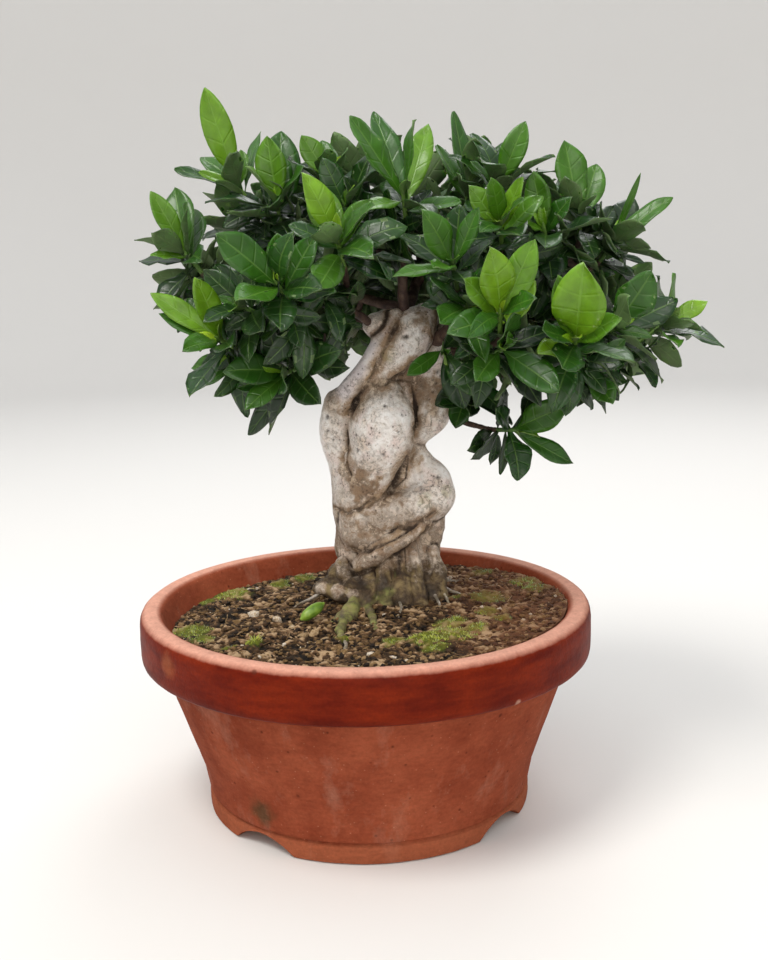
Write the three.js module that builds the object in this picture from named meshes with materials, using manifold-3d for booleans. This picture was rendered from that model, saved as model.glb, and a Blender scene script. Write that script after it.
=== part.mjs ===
import * as THREE from "three";
import { mergeVertices } from "three/addons/utils/BufferGeometryUtils.js";
import Module from "manifold-3d";

const wasm = await Module();
wasm.setup();

// A gardenia bonsai in its round terracotta pot. Millimetres, +Z up, the view from the front is along +Y.
// While it is built, the pot's axis is x = y = 0, and it stands on z = potSize.footBottom.
const gap = 0.3; // clear space kept between two pieces that rest on each other

const potSize = {
  bandRadius: 140, bandBottom: 95, bandTop: 121, lipTop: 125, lipInner: 126, lipRound: 3,
  bodyTop: 126, bodyFoot: 102, footRadius: 102, footTop: 9, footBottom: -3, grooveDepth: 2,
  wallFoot: 13, wallBend: 92, wallMiddle: 114, floorTop: 14, floorUnder: 4, footRingInner: 82, drainRadius: 11,
  sides: 30,
};
const notch = { count: 4, first: -39, halfWidth: 23, height: 10, sides: 16 };

// The soil's surface: height at the axis, its lean along X and Y, the mound round the trunk and small lumps.
const soilSize = { level: 115.5, leanX: 0.05, leanY: -0.03, mound: 4, moundReach: 55, lump: 1.6, sides: 18,
  rings: [96, 70, 40, 0] };
const trunkFoot = [14, 28];

// The trunk grew as knotted, swollen limbs. Each is a list of [x, y, z, radius] along its middle.
const trunkLimbs = {
  core: [[31, 36, 284, 13], [29, 36, 252, 15], [19, 36, 222, 17.5], [17, 33, 185, 21], [15, 31, 145, 27],
    [14, 28, 106, 29]],
  arm: [[-15, 18, 247, 8], [-9.5, 13, 256, 7], [-1.5, 11, 265, 6.2], [6.5, 12, 275, 5.6], [14, 15, 286, 5],
    [22, 20, 297, 5]],
  shoulder: [[-15, 22, 243, 8.4], [-16, 23, 229, 10.8], [-14, 24, 215, 11], [-10, 24, 203, 10.4],
    [-7, 24, 183, 12.8], [-6, 25, 163, 12], [-7, 26, 148, 12.5]],
  ball: [[14, 15, 242, 17.5], [13, 12, 232, 21], [12, 13, 220, 19.8], [8, 15, 207, 16.8], [2, 18, 188, 13.5]],
  upperLobe: [[36, 24, 292, 13], [30, 21, 284, 14], [22, 19, 274, 13.2], [16, 18, 267, 10.8]],
  knob: [[10, 24, 292, 7], [19, 28, 294, 8]],
  backLimb: [[41, 34, 295, 9], [47.5, 34, 273, 11], [47, 32, 255, 12.4], [46, 30, 242, 12.4], [36, 28, 225, 9]],
  thigh: [[32, 28, 214, 7.4], [42, 25, 196, 12], [44.5, 21, 184, 14.2], [35, 16, 180, 13], [18, 13, 177, 11.4],
    [0, 17, 173, 10.5]],
  belly: [[-4, 16, 170, 12], [-1, 14, 163, 13.4], [12, 15, 163, 9.5]],
  cross: [[38, 12, 168, 5], [19, 1.5, 159, 6.3], [-3, 5, 144, 6]],
  rightSide: [[42.5, 26, 168, 9.8], [39, 25, 148, 10], [33, 24, 116, 13]],
  backCross: [[44, 44, 188, 10.5], [31, 57, 174, 13], [-2, 52, 146, 13]],
  backWrap: [[-12, 38, 226, 9.5], [6, 56, 209, 13], [33, 50, 192, 10.5]],
  backTop: [[40, 46, 272, 10.5], [25, 55, 247, 12.5], [8, 49, 226, 10.5]],
};

// Roots at the soil: a cut stub across the foot, knots, and thin and green roots that dive into the soil.
const roots = {
  stub: [[-31, 13, 128, 4.2], [-19, 9, 126, 5.4], [-8, 7, 123, 6.2], [3, 11, 121, 6]],
  leftKnot: [[-24, 23, 141, 5], [-22, 19, 135, 6], [-14, 15, 127, 8]],
  rightRoot: [[36, 17, 132, 5], [42, 8, 124, 3.4], [45, 2, 113, 2.6]],
  greenFork: [[-4, 6, 122, 5], [-10, -14, 119.5, 5.2], [-15, -35, 117, 3.6], [-15, -58, 117, 2.6],
    [-15, -70, 108, 2]],
  greenLeg: [[-10, -16, 118, 4], [-21, -26, 116, 3.2], [-26, -34, 108, 2.4]],
  greenRoot: [[0, 4, 122, 3], [3, -18, 119, 2.6], [5, -42, 117.5, 2.4], [6, -54, 108, 2]],
  backRoot: [[22, 50, 126, 9], [34, 66, 114, 6], [42, 76, 103, 3.5]],
  backLeft: [[-6, 46, 128, 9], [-20, 60, 114, 5.5], [-28, 70, 104, 3.2]],
};
const trunkSides = 7;
const rootSides = 5;

// A green bud that has dropped and lies on the soil by the roots: both ends, and its radius.
const fallenBud = { from: [-40, -26, 118.4], to: [-27.5, -22, 122], radius: 3.3 };

// Brown limbs: each is one or more paths of [x, y, z, radius] that start in the trunk and carry the sprays.
const limbs = {
  limb_left: [
    [[12, 34, 290, 4.6], [-2, 37, 294, 4], [-18, 28, 300, 3.4], [-40, 15, 296, 3], [-62, 5, 298, 2.7],
      [-80, 3, 314, 2.2]],
    [[-18, 28, 300, 3.2], [-28, 24, 318, 2.9], [-40, 20, 334, 2.6], [-50, 24, 346, 2.2]],
  ],
  limb_front_left: [[[14, 22, 286, 3.4], [0, 8, 300, 3], [-12, -12, 303, 2.7], [-24, -32, 300, 2.3]]],
  limb_crown: [[[29, 26, 294, 4.4], [27, 17, 314, 3.8], [28, 12, 332, 3.3], [30, 6, 344, 2.7]]],
  limb_top_right: [
    [[40, 32, 292, 5.5], [56, 30, 312, 5], [78, 22, 322, 4.2], [104, 16, 326, 3.5], [128, 20, 330, 2.6]],
  ],
  limb_right: [
    [[52, 34, 276, 5.5], [68, 32, 270, 5], [90, 20, 262, 4.4], [116, 8, 260, 3.6], [146, 8, 266, 2.6]],
    [[68, 32, 270, 4.6], [84, 52, 278, 4], [102, 68, 288, 3.2], [116, 76, 300, 2.4]],
  ],
  limb_front_right: [[[48, 26, 282, 5], [57, 4, 292, 4.4], [62, -20, 290, 3.6], [67, -44, 284, 2.8]]],
  limb_low: [[[54, 27, 238, 2.6], [64, 16, 232, 2.2], [74, 4, 230, 2]]],
  limb_back: [
    [[30, 44, 284, 6], [32, 62, 300, 5], [38, 82, 314, 4.2], [42, 100, 326, 3]],
    [[32, 62, 300, 4.6], [8, 74, 306, 4], [-14, 84, 312, 3.2], [-34, 86, 318, 2.4]],
    [[38, 82, 314, 3.6], [50, 78, 334, 3.2], [58, 70, 350, 2.4]],
  ],
};
const limbSides = 5;
const twig = { radius: 1.5, rootRadius: 2.1, sides: 3, steps: 2, backLean: 0.5, forward: 16 };

// Green shoots that carry the leaves. start and tip are the ends of the shoot's stem, count the number of
// leaves, size a full leaf's length, young how fresh it is (0 to 1), and tips the points of the leaves
// that shape the outline, with a width where a leaf isn't the usual one.
const shoots = {
  left_top: { limb: "limb_left", start: [-57, 28, 358], tip: [-73, 21, 380], count: 9, size: 37, young: 0.5,
    tips: [[-88, 5, 433, 20], [-93, 8, 405, 13], [-92, -2, 386, 10], [-70, 32, 400, 13], [-60, 45, 414, 8]] },
  left_tall: { limb: "limb_left", start: [-46, 12, 351], tip: [-47, 5, 367], count: 10, size: 39, young: 0.3,
    tips: [[-51, -2, 405], [-43, 22, 410], [-34, 30, 408], [-62, -22, 388], [-30, -18, 386]] },
  left_inner: { limb: "limb_left", start: [-58, 34, 344], tip: [-68, 42, 356], count: 9, size: 38, young: 0.1,
    tips: [] },
  left_end: { limb: "limb_left", start: [-93, 1, 327], tip: [-103, -4, 340], count: 10, size: 38, young: 0.3,
    tips: [[-118, -10, 375, 13], [-108, 15, 378], [-98, 22, 366], [-126, -15, 343, 11], [-100, -20, 368]] },
  left_back: { limb: "limb_left", start: [-84, 24, 308], tip: [-96, 32, 318], count: 9, size: 38, young: 0.1,
    tips: [] },
  left_low: { limb: "limb_left", start: [-71, -22, 283], tip: [-80, -36, 290], count: 11, size: 38, young: 0.4,
    tips: [[-117, -38, 318, 13], [-106, -54, 320, 13], [-89, -62, 326, 15], [-118, -48, 305, 12]] },
  left_under: { limb: "limb_left", start: [-60, -2, 278], tip: [-71, -9, 276], count: 10, size: 36, young: 0.2,
    tips: [[-95, -25, 264, 13], [-103, 5, 271, 12], [-80, -34, 290]] },
  middle_left: { limb: "limb_left", start: [-15, 20, 367], tip: [-15, 14, 380], count: 9, size: 37, young: 0.4,
    tips: [[-31, 14, 407], [-21, 28, 405], [-12, 30, 414], [-4, -6, 397]] },
  middle_inner: { limb: "limb_crown", start: [-2, 2, 352], tip: [-7, -8, 364], count: 9, size: 36, young: 0.2,
    tips: [] },
  front_left: { limb: "limb_front_left", start: [-38, -54, 310], tip: [-44, -69, 321], count: 11, size: 39,
    young: 0.35, tips: [[-74, -86, 348], [-46, -78, 352], [-24, -66, 347], [-66, -103, 314], [-12, -82, 318]] },
  front_left_high: { limb: "limb_front_left", start: [-8, -44, 330], tip: [-11, -58, 343], count: 10, size: 38,
    young: 0.6, tips: [[-28, -75, 378, 16], [8, -62, 366], [-22, -44, 376]] },
  front_left_side: { limb: "limb_front_left", start: [-52, -34, 302], tip: [-64, -46, 308], count: 9, size: 38,
    young: 0.15, tips: [] },
  front_left_low: { limb: "limb_front_left", start: [-34, -26, 273], tip: [-43, -38, 270], count: 9, size: 38,
    young: 0.15, tips: [[-75, -58, 276], [-71, -42, 262], [-66, -56, 236, 19]] },
  crown: { limb: "limb_crown", start: [29, -3, 354], tip: [27, -14, 370], count: 11, size: 43, young: 0.45,
    tips: [[-3, -28, 412, 17], [10, -38, 406, 20], [28, -42, 408, 20], [22, 10, 425, 20], [47, 4, 423, 18],
      [0, -44, 361, 12], [58, -32, 366, 14]] },
  crown_right: { limb: "limb_top_right", start: [66, 26, 360], tip: [69, 25, 374], count: 10, size: 40,
    young: 0.3, tips: [[60, 32, 421, 13], [75, 20, 413, 18], [88, 8, 388], [50, 30, 408]] },
  crown_side: { limb: "limb_top_right", start: [84, 6, 362], tip: [84, 1, 376], count: 9, size: 39, young: 0.25,
    tips: [[98, -8, 410, 15], [67, -6, 402]] },
  middle_right: { limb: "limb_front_right", start: [56, -38, 316], tip: [52, -54, 330], count: 10, size: 38,
    young: 0.15, tips: [[36, -72, 358], [62, -64, 362], [18, -76, 326, 10], [40, -84, 330]] },
  middle_high: { limb: "limb_top_right", start: [83, -26, 339], tip: [80, -40, 351], count: 10, size: 37,
    young: 0.45, tips: [[74, -58, 376, 12], [91, -52, 376, 11], [64, -40, 378], [102, -44, 366]] },
  front_right: { limb: "limb_front_right", start: [77, -66, 292], tip: [75, -82, 304], count: 11, size: 38,
    young: 0.7, tips: [[70, -104, 337, 20], [91, -94, 342, 17], [57, -96, 324], [99, -90, 324]] },
  right_pale: { limb: "limb_top_right", start: [113, -2, 337], tip: [109, -14, 349], count: 10, size: 38,
    young: 0.35, tips: [[101, -22, 381, 15], [120, -28, 370], [92, -30, 354]] },
  right_top: { limb: "limb_top_right", start: [136, 19, 344], tip: [135, 14, 357], count: 10, size: 40,
    young: 0.4, tips: [[125, 14, 401, 21], [137, -6, 374, 15], [149, 30, 388], [154, 12, 375]] },
  right_far: { limb: "limb_top_right", start: [150, 26, 329], tip: [157, 20, 341], count: 9, size: 40,
    young: 0.15, tips: [[175, 4, 380, 5], [191, 14, 367, 13], [178, 22, 328, 6], [166, -14, 352]] },
  right_bright: { limb: "limb_right", start: [121, -48, 276], tip: [118, -68, 288], count: 10, size: 40,
    young: 0.6, tips: [[119, -92, 328, 29], [106, -78, 322, 15], [138, -86, 302], [96, -84, 282]] },
  right_olive: { limb: "limb_right", start: [140, -14, 284], tip: [149, -25, 291], count: 9, size: 43,
    young: 0.2, tips: [[168, -38, 322, 24], [174, -34, 296], [150, -56, 310]] },
  right_end: { limb: "limb_right", start: [168, 6, 278], tip: [184, 0, 291], count: 9, size: 37, young: 0.5,
    tips: [[188, -7, 322, 16], [221, -6, 311, 14], [171, 18, 322, 11], [186, -32, 282]] },
  front_right_low: { limb: "limb_front_right", start: [71, -56, 279], tip: [78, -70, 284], count: 10, size: 39,
    young: 0.1, tips: [[106, -92, 264, 19], [84, -96, 306], [60, -92, 270]] },
  right_low: { limb: "limb_right", start: [127, -14, 262], tip: [134, -26, 266], count: 10, size: 37, young: 0.2,
    tips: [[152, -44, 283], [146, -40, 249, 16], [160, -12, 259, 11], [112, -48, 258]] },
  low_shoot: { limb: "limb_low", start: [82, -8, 230], tip: [92, -17, 231], count: 7, size: 34, young: 0,
    tips: [[121, -37, 248, 19], [79, -32, 247, 15], [94, -27, 203, 20], [127, -14, 208, 13], [86, -4, 201, 7]] },
  front_curl: { limb: "limb_front_right", start: [58, -42, 301], tip: [60, -58, 308], count: 9, size: 38,
    young: 0.3, tips: [[66, -90, 282, 13], [43, -88, 300]] },
  trunk_front: { limb: "limb_front_right", start: [50, -18, 284], tip: [48, -28, 280], count: 7, size: 38,
    young: 0.05, tips: [[27, -46, 269, 10], [62, -26, 246]] },
  trunk_right: { limb: "limb_right", start: [70, 20, 262], tip: [66, 12, 254], count: 6, size: 36, young: 0,
    tips: [[58, -2, 231, 15], [88, -2, 240, 14]] },
  back_left_top: { limb: "limb_back", start: [-34, 66, 350], tip: [-42, 70, 364], count: 9, size: 39,
    young: 0.3, tips: [] },
  back_left_end: { limb: "limb_back", start: [-56, 78, 326], tip: [-70, 80, 334], count: 10, size: 39,
    young: 0.2, tips: [] },
  back_left_low: { limb: "limb_back", start: [-44, 98, 306], tip: [-56, 108, 306], count: 9, size: 39,
    young: 0.1, tips: [] },
  back_left_out: { limb: "limb_back", start: [-8, 108, 328], tip: [-12, 120, 336], count: 10, size: 39,
    young: 0.3, tips: [] },
  back_left_under: { limb: "limb_back", start: [-6, 96, 292], tip: [-12, 108, 288], count: 9, size: 38,
    young: 0, tips: [] },
  back_top_left: { limb: "limb_back", start: [6, 60, 370], tip: [3, 64, 384], count: 9, size: 38, young: 0.4,
    tips: [] },
  back_top: { limb: "limb_back", start: [36, 84, 362], tip: [34, 92, 376], count: 9, size: 38, young: 0.3,
    tips: [] },
  back_middle: { limb: "limb_back", start: [42, 114, 338], tip: [42, 128, 344], count: 10, size: 40, young: 0.3,
    tips: [] },
  back_under: { limb: "limb_back", start: [40, 112, 304], tip: [42, 124, 300], count: 9, size: 39, young: 0.1,
    tips: [] },
  back_top_right: { limb: "limb_back", start: [74, 66, 368], tip: [78, 68, 382], count: 9, size: 38,
    young: 0.4, tips: [] },
  back_right_high: { limb: "limb_back", start: [84, 98, 342], tip: [92, 108, 352], count: 10, size: 39,
    young: 0.2, tips: [] },
  back_right: { limb: "limb_right", start: [98, 104, 308], tip: [102, 118, 314], count: 10, size: 40, young: 0.2,
    tips: [] },
  back_right_top: { limb: "limb_right", start: [124, 66, 346], tip: [128, 70, 360], count: 9, size: 38,
    young: 0.3, tips: [] },
  back_right_end: { limb: "limb_right", start: [136, 88, 322], tip: [147, 96, 330], count: 10, size: 39,
    young: 0.2, tips: [] },
  side_right_back: { limb: "limb_right", start: [152, 52, 296], tip: [165, 56, 304], count: 9, size: 39,
    young: 0.2, tips: [] },
  back_right_low: { limb: "limb_right", start: [116, 82, 280], tip: [124, 94, 276], count: 9, size: 38,
    young: 0, tips: [] },
  back_low: { limb: "limb_right", start: [76, 92, 276], tip: [74, 104, 270], count: 9, size: 38, young: 0,
    tips: [] },
};

// A shoot's stem is three-sided: each whorl of leaves takes its three faces, and the next whorl down is
// turned by half a face. faceHeight is the height of a leaf's root on the stem, bud the pointed end.
const stem = { radius: 1.7, tipRadius: 1.45, faceHeight: 1.3, topMargin: 1, whorlStep: 3.6, bud: 3.2 };

// How the leaves stand: three to a whorl, the uppermost nearly upright, the lowest spread flat.
const whorl = { leaves: 3, lean: [32, 56, 76, 92], sizes: [0.86, 1, 1, 0.9], jitter: 12, lift: 0.1 };
const blade = { thick: 0.8, width: 0.47, shoulder: 0.42, shoulderWidth: 0.9, belly: 0.74, bellyWidth: 0.84 };
const facing = { front: new THREE.Vector3(0, -1, 0.2), shown: 1, outward: 0.35, twist: 0.4 };
const placing = { attempts: 24, turn: 0.08, heroTurn: 0.04, shrink: 0.018, clear: 0.4, ownClear: 0.15, aim: 1.5,
  steepest: 0.12, scrap: 1e-6 };

// The trunk's front stays in sight. Seen from the eye, only leaves with a set point may stand before this
// outline, which is given as [x, z] where y is depth.
const openFront = {
  eye: [-3, -727, 338], depth: 12,
  outline: [[-23, 223], [-24, 245], [-16, 258], [-8, 265], [-2, 279], [4, 289], [4, 300], [15, 308],
    [43, 306], [53, 296], [55, 280], [55, 256], [46, 244], [30, 237], [43, 228], [56, 202],
    [56, 177], [48, 144], [-16, 139], [-21, 185]],
};

const colours = {
  pot: 0xa5512f, soil: 0x3d2a1e, trunk: 0xbfae9b, limb: 0x5b3a2c, bud: 0x7f9a3a, oldLeaf: 0x2b5420,
  youngLeaf: 0x8fb82e,
};

const radians = THREE.MathUtils.degToRad;
const vector = (p) => new THREE.Vector3(p[0], p[1], p[2]);

// Turns a closed three.js geometry into a solid that can be joined and cut.
function solid(geometry) {
  const bare = geometry.clone();
  bare.deleteAttribute("normal");
  bare.deleteAttribute("uv");
  const merged = mergeVertices(bare, 1e-4);
  const corners = merged.index.array;
  const triVerts = [];
  for (let i = 0; i < corners.length; i += 3) {
    const [a, b, c] = [corners[i], corners[i + 1], corners[i + 2]];
    if (a !== b && b !== c && c !== a) triVerts.push(a, b, c);
  }
  return new wasm.Manifold(new wasm.Mesh({
    numProp: 3,
    vertProperties: Float32Array.from(merged.attributes.position.array),
    triVerts: Uint32Array.from(triVerts),
  }));
}

function geometryOf(body) {
  const { vertProperties, triVerts } = body.getMesh();
  const geometry = new THREE.BufferGeometry();
  geometry.setAttribute("position", new THREE.BufferAttribute(vertProperties, 3));
  geometry.setIndex(new THREE.BufferAttribute(triVerts, 1));
  geometry.computeVertexNormals();
  return geometry;
}

function join(bodies) {
  return bodies.reduce((sum, body) => sum.add(body));
}

// The largest of a solid's separate lumps, so that a cut leaves no scrap behind.
function largest(body) {
  return body.decompose().sort((a, b) => b.volume() - a.volume())[0];
}

function meshFrom(points, triangles) {
  const geometry = new THREE.BufferGeometry();
  geometry.setAttribute("position", new THREE.Float32BufferAttribute(points.flatMap((p) => [p.x, p.y, p.z]), 3));
  geometry.setIndex(triangles);
  return geometry;
}

// Square directions for each point of a path, carried along it so that a tube doesn't twist.
function framesAlong(path, endAlong) {
  const frames = [];
  let side = null;
  for (let i = 0; i < path.length; i++) {
    const before = path[Math.max(i - 1, 0)];
    const after = path[Math.min(i + 1, path.length - 1)];
    const along = i === path.length - 1 && endAlong ? endAlong : after.clone().sub(before).normalize();
    const guess = side ?? (Math.abs(along.z) < 0.9 ? new THREE.Vector3(0, 0, 1) : new THREE.Vector3(1, 0, 0));
    side = guess.clone().addScaledVector(along, -guess.dot(along)).normalize();
    frames.push({ along, side, up: along.clone().cross(side) });
  }
  return frames;
}

// A closed tube of changing radius along [x, y, z, radius] stations, with flat or rounded ends. A flat
// far end can be squared to a direction of its own.
function tube(stations, sides, rounded, grow = 0, endAlong = null) {
  const centres = stations.map(vector);
  const radii = stations.map((s) => s[3] + grow);
  const frames = framesAlong(centres, endAlong);
  const rings = centres.map((centre, i) => ({ centre, radius: radii[i], frame: frames[i] }));
  const [capStep, capReach, swell] = [0.55, 0.95, 0.8]; // a rounded end, as shares of its radius
  const last = rings.length - 1;
  if (rounded) {
    const head = centres[0].clone().addScaledVector(frames[0].along, -capStep * radii[0]);
    const tail = centres[last].clone().addScaledVector(frames[last].along, capStep * radii[last]);
    rings.unshift({ centre: head, radius: radii[0] * swell, frame: frames[0] });
    rings.push({ centre: tail, radius: radii[last] * swell, frame: frames[last] });
  }
  const points = [];
  for (const { centre, radius, frame } of rings) {
    for (let k = 0; k < sides; k++) {
      const angle = (k / sides) * 2 * Math.PI;
      points.push(centre.clone()
        .addScaledVector(frame.side, radius * Math.cos(angle))
        .addScaledVector(frame.up, radius * Math.sin(angle)));
    }
  }
  const triangles = [];
  const end = (rings.length - 1) * sides;
  for (let k = 0; k < sides; k++) {
    const next = (k + 1) % sides;
    for (let r = 0; r < rings.length - 1; r++) {
      const [a, b] = [r * sides + k, r * sides + next];
      triangles.push(a, b, b + sides, a, b + sides, a + sides);
    }
  }
  if (rounded) {
    const head = points.push(centres[0].clone().addScaledVector(frames[0].along, -capReach * radii[0])) - 1;
    const tail = points.push(centres[last].clone().addScaledVector(frames[last].along, capReach * radii[last])) - 1;
    for (let k = 0; k < sides; k++) {
      const next = (k + 1) % sides;
      triangles.push(head, next, k, tail, end + k, end + next);
    }
  } else {
    for (let k = 1; k < sides - 1; k++) triangles.push(0, k + 1, k, end, end + k, end + k + 1);
  }
  return solid(meshFrom(points, triangles));
}

// Evenly spread random numbers from a seed, the same on every run.
function draws(seed) {
  let state = seed >>> 0;
  return () => {
    state = (state + 0x6d2b79f5) >>> 0;
    let mixed = Math.imul(state ^ (state >>> 15), state | 1);
    mixed = (mixed ^ (mixed + Math.imul(mixed ^ (mixed >>> 7), mixed | 61))) >>> 0;
    return ((mixed ^ (mixed >>> 14)) >>> 0) / 4294967296;
  };
}

function makePot() {
  const p = potSize;
  const outline = [
    [p.drainRadius, p.floorUnder], [p.footRingInner - 2, p.floorUnder], [p.footRingInner, p.footBottom],
    [p.footRadius - 1, p.footBottom], [p.footRadius, p.footTop - 2],
    [p.footRadius - p.grooveDepth, p.footTop], [p.bodyFoot, p.footTop + 3],
    [p.bodyFoot + 3, 27], [p.bodyTop - 5, 74], [p.bodyTop, p.bandBottom - 4],
    [p.bandRadius - 4, p.bandBottom - 1], [p.bandRadius - 1, p.bandBottom + 2],
    [p.bandRadius, p.bandBottom + 14], [p.bandRadius - 1, p.bandTop], [p.bandRadius - 5, p.lipTop],
    [p.lipInner + p.lipRound, p.lipTop],
    ...potWall().slice().reverse(),
    [p.drainRadius, p.floorTop], [p.drainRadius, p.floorUnder],
  ];
  const shell = new THREE.LatheGeometry(outline.map(([r, z]) => new THREE.Vector2(r, z)), p.sides);
  shell.rotateX(Math.PI / 2);
  let body = solid(shell);
  const archRadius = (notch.halfWidth ** 2 + notch.height ** 2) / (2 * notch.height);
  for (let i = 0; i < notch.count; i++) {
    const turn = radians(notch.first + (360 / notch.count) * i);
    const arch = new THREE.CylinderGeometry(archRadius, archRadius, 34, notch.sides * 2);
    arch.translate(0, -p.footRadius + 5, p.footBottom + notch.height - archRadius);
    arch.rotateZ(turn);
    body = body.subtract(solid(arch));
  }
  return body;
}

// The inside of the pot's wall from the floor up, as [radius, height].
function potWall() {
  const p = potSize;
  return [[p.bodyFoot - p.wallFoot - 2, p.floorTop], [p.bodyFoot - p.wallFoot + 2, p.floorTop + 6],
    [p.wallMiddle, p.wallBend], [p.lipInner, p.lipTop - p.lipRound]];
}

function wallRadius(z) {
  const wall = potWall();
  for (let i = 1; i < wall.length; i++) {
    const [[r0, z0], [r1, z1]] = [wall[i - 1], wall[i]];
    if (z <= z1) return r0 + ((r1 - r0) * (z - z0)) / (z1 - z0);
  }
  return wall[wall.length - 1][0];
}

function soilHeight(x, y) {
  const s = soilSize;
  const away = Math.hypot(x - trunkFoot[0], y - trunkFoot[1]);
  const lumps = Math.sin(x * 0.11 + 1) * Math.cos(y * 0.13) + 0.6 * Math.sin(x * 0.23 - y * 0.19);
  return soilPlane(x, y) + s.mound * Math.exp(-((away / s.moundReach) ** 2)) + s.lump * lumps;
}

function soilPlane(x, y) {
  return soilSize.level + soilSize.leanX * x + soilSize.leanY * y;
}

// The fill of the pot. Its edge follows the sloping wall at the height that the soil has there.
function makeSoil() {
  const rim = soilSize.level;
  const inside = (z) => wallRadius(z) * Math.cos(Math.PI / potSize.sides) - gap;
  const [low, high] = [potSize.floorTop + gap, potSize.floorTop + 6];
  const outline = [[0, low], [inside(potSize.floorTop), low], [inside(high), high],
    [inside(potSize.wallBend), potSize.wallBend], [inside(rim), rim]];
  for (const r of soilSize.rings) outline.push([r, rim]);
  const fill = new THREE.LatheGeometry(outline.map(([r, z]) => new THREE.Vector2(r, z)), soilSize.sides);
  fill.rotateX(Math.PI / 2);
  const places = fill.attributes.position;
  for (let i = 0; i < places.count; i++) {
    if (places.getZ(i) < rim - 1) continue;
    const [x, y] = [places.getX(i), places.getY(i)];
    const away = Math.hypot(x, y);
    const edge = away > soilSize.rings[0] + 1;
    const height = edge ? soilPlane(x, y) : soilHeight(x, y);
    const stretch = edge ? inside(height) / away : 1;
    places.setXYZ(i, x * stretch, y * stretch, height);
  }
  return solid(fill);
}

// The whole trunk with its roots; grow makes it fatter, which leaves the gap where a neighbour meets it.
function makeTrunk(grow = 0) {
  const parts = Object.values(trunkLimbs).map((path) => tube(path, trunkSides, true, grow));
  for (const path of Object.values(roots)) parts.push(tube(path, rootSides, true, grow));
  return join(parts);
}

function makeBud() {
  const [a, b] = [vector(fallenBud.from), vector(fallenBud.to)];
  const at = (t, r) => [...a.clone().lerp(b, t).toArray(), r * fallenBud.radius];
  return tube([at(0.06, 0.55), at(0.3, 0.95), at(0.65, 1), at(0.95, 0.6)], 8, true);
}

// Where a shoot's twig leaves its limb: the nearest point that lets the twig go on forward.
function twigRoot(limb, start) {
  let best = null;
  for (const path of limbs[limb]) {
    for (let i = 1; i < path.length; i++) {
      for (let k = 1; k <= 4; k++) {
        const point = vector(path[i - 1]).lerp(vector(path[i]), k / 4);
        const radius = THREE.MathUtils.lerp(path[i - 1][3], path[i][3], k / 4);
        const along = vector(path[i]).sub(vector(path[i - 1])).normalize();
        const away = start.clone().sub(point);
        const first = i === 1 && k < 3;
        const cost = away.length() - twig.forward * away.clone().normalize().dot(along) + (first ? 100 : 0);
        if (!best || cost < best.cost) best = { cost, point, radius, along };
      }
    }
  }
  return best;
}

// The twig is a curve that leaves the limb forward and comes in line with the shoot.
function twigPath(shoot) {
  const start = vector(shoot.start);
  const axis = vector(shoot.tip).sub(start).normalize();
  const root = twigRoot(shoot.limb, start);
  const reach = start.distanceTo(root.point) * twig.backLean;
  const knee = start.clone().addScaledVector(axis, -reach);
  const curve = new THREE.QuadraticBezierCurve3(root.point, knee, start);
  const thick = Math.min(root.radius * 0.8, twig.rootRadius);
  const stations = curve.getPoints(twig.steps).map((p, i) =>
    [...p.toArray(), THREE.MathUtils.lerp(thick, twig.radius, i / twig.steps)]);
  return { stations, axis };
}

function makeLimb(name, grownTrunk) {
  const parts = limbs[name].map((path) => tube(path, limbSides, false));
  for (const shoot of Object.values(shoots)) {
    if (shoot.limb !== name) continue;
    const { stations, axis } = twigPath(shoot);
    parts.push(tube(stations, twig.sides, false, 0, axis));
  }
  return largest(join(parts).subtract(grownTrunk));
}

// The axis of a shoot and two directions square to it, and the heights of its whorls, top first.
function shootFrame(shoot) {
  const [start, tip] = [vector(shoot.start), vector(shoot.tip)];
  const axis = tip.clone().sub(start).normalize();
  const level = new THREE.Vector3(0, 0, 1).cross(axis);
  const side = (level.length() < 0.2 ? new THREE.Vector3(1, 0, 0) : level).normalize();
  side.addScaledVector(axis, -side.dot(axis)).normalize();
  const front = axis.clone().cross(side);
  const length = start.distanceTo(tip);
  const whorls = Math.ceil(shoot.count / whorl.leaves);
  const step = Math.min(stem.whorlStep, (length - stem.topMargin - 2.5) / whorls);
  const heights = Array.from({ length: whorls }, (_, i) => length - stem.topMargin - step * i);
  return { start, axis, side, front, length, heights };
}

// A point beside the axis, at a height along the stem, an angle round it and a distance from it.
function beside(frame, height, angle, distance) {
  return frame.start.clone().addScaledVector(frame.axis, height)
    .addScaledVector(frame.side, distance * Math.cos(angle))
    .addScaledVector(frame.front, distance * Math.sin(angle));
}

function stemRadius(frame, height) {
  return THREE.MathUtils.lerp(stem.radius, stem.tipRadius, height / frame.length);
}

function angleBetween(a, b) {
  return Math.abs(Math.atan2(Math.sin(a - b), Math.cos(a - b)));
}

// Gives each leaf of a shoot its place on the stem. Leaves with a set point take the face that suits
// them best, and the others fill the free faces from the top.
function leafSlots(shoot, frame, phase) {
  const free = [];
  frame.heights.forEach((height, ring) => {
    for (let k = 0; k < whorl.leaves; k++) free.push({ ring, k, height, angle: phase + Math.PI / 3 * (ring + 2 * k) });
  });
  const slots = [];
  for (const point of shoot.tips) {
    let best = 0;
    let least = Infinity;
    free.forEach((slot, i) => {
      const chord = vector(point).sub(beside(frame, slot.height, 0, 0));
      const lean = chord.angleTo(frame.axis);
      const azimuth = Math.atan2(chord.dot(frame.front), chord.dot(frame.side));
      const cost = Math.abs(lean - radians(whorl.lean[slot.ring])) + placing.aim * angleBetween(azimuth, slot.angle);
      if (cost < least) [best, least] = [i, cost];
    });
    slots.push({ ...free.splice(best, 1)[0], point });
  }
  while (slots.length < shoot.count) slots.push({ ...free.shift(), point: null });
  return slots;
}

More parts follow.
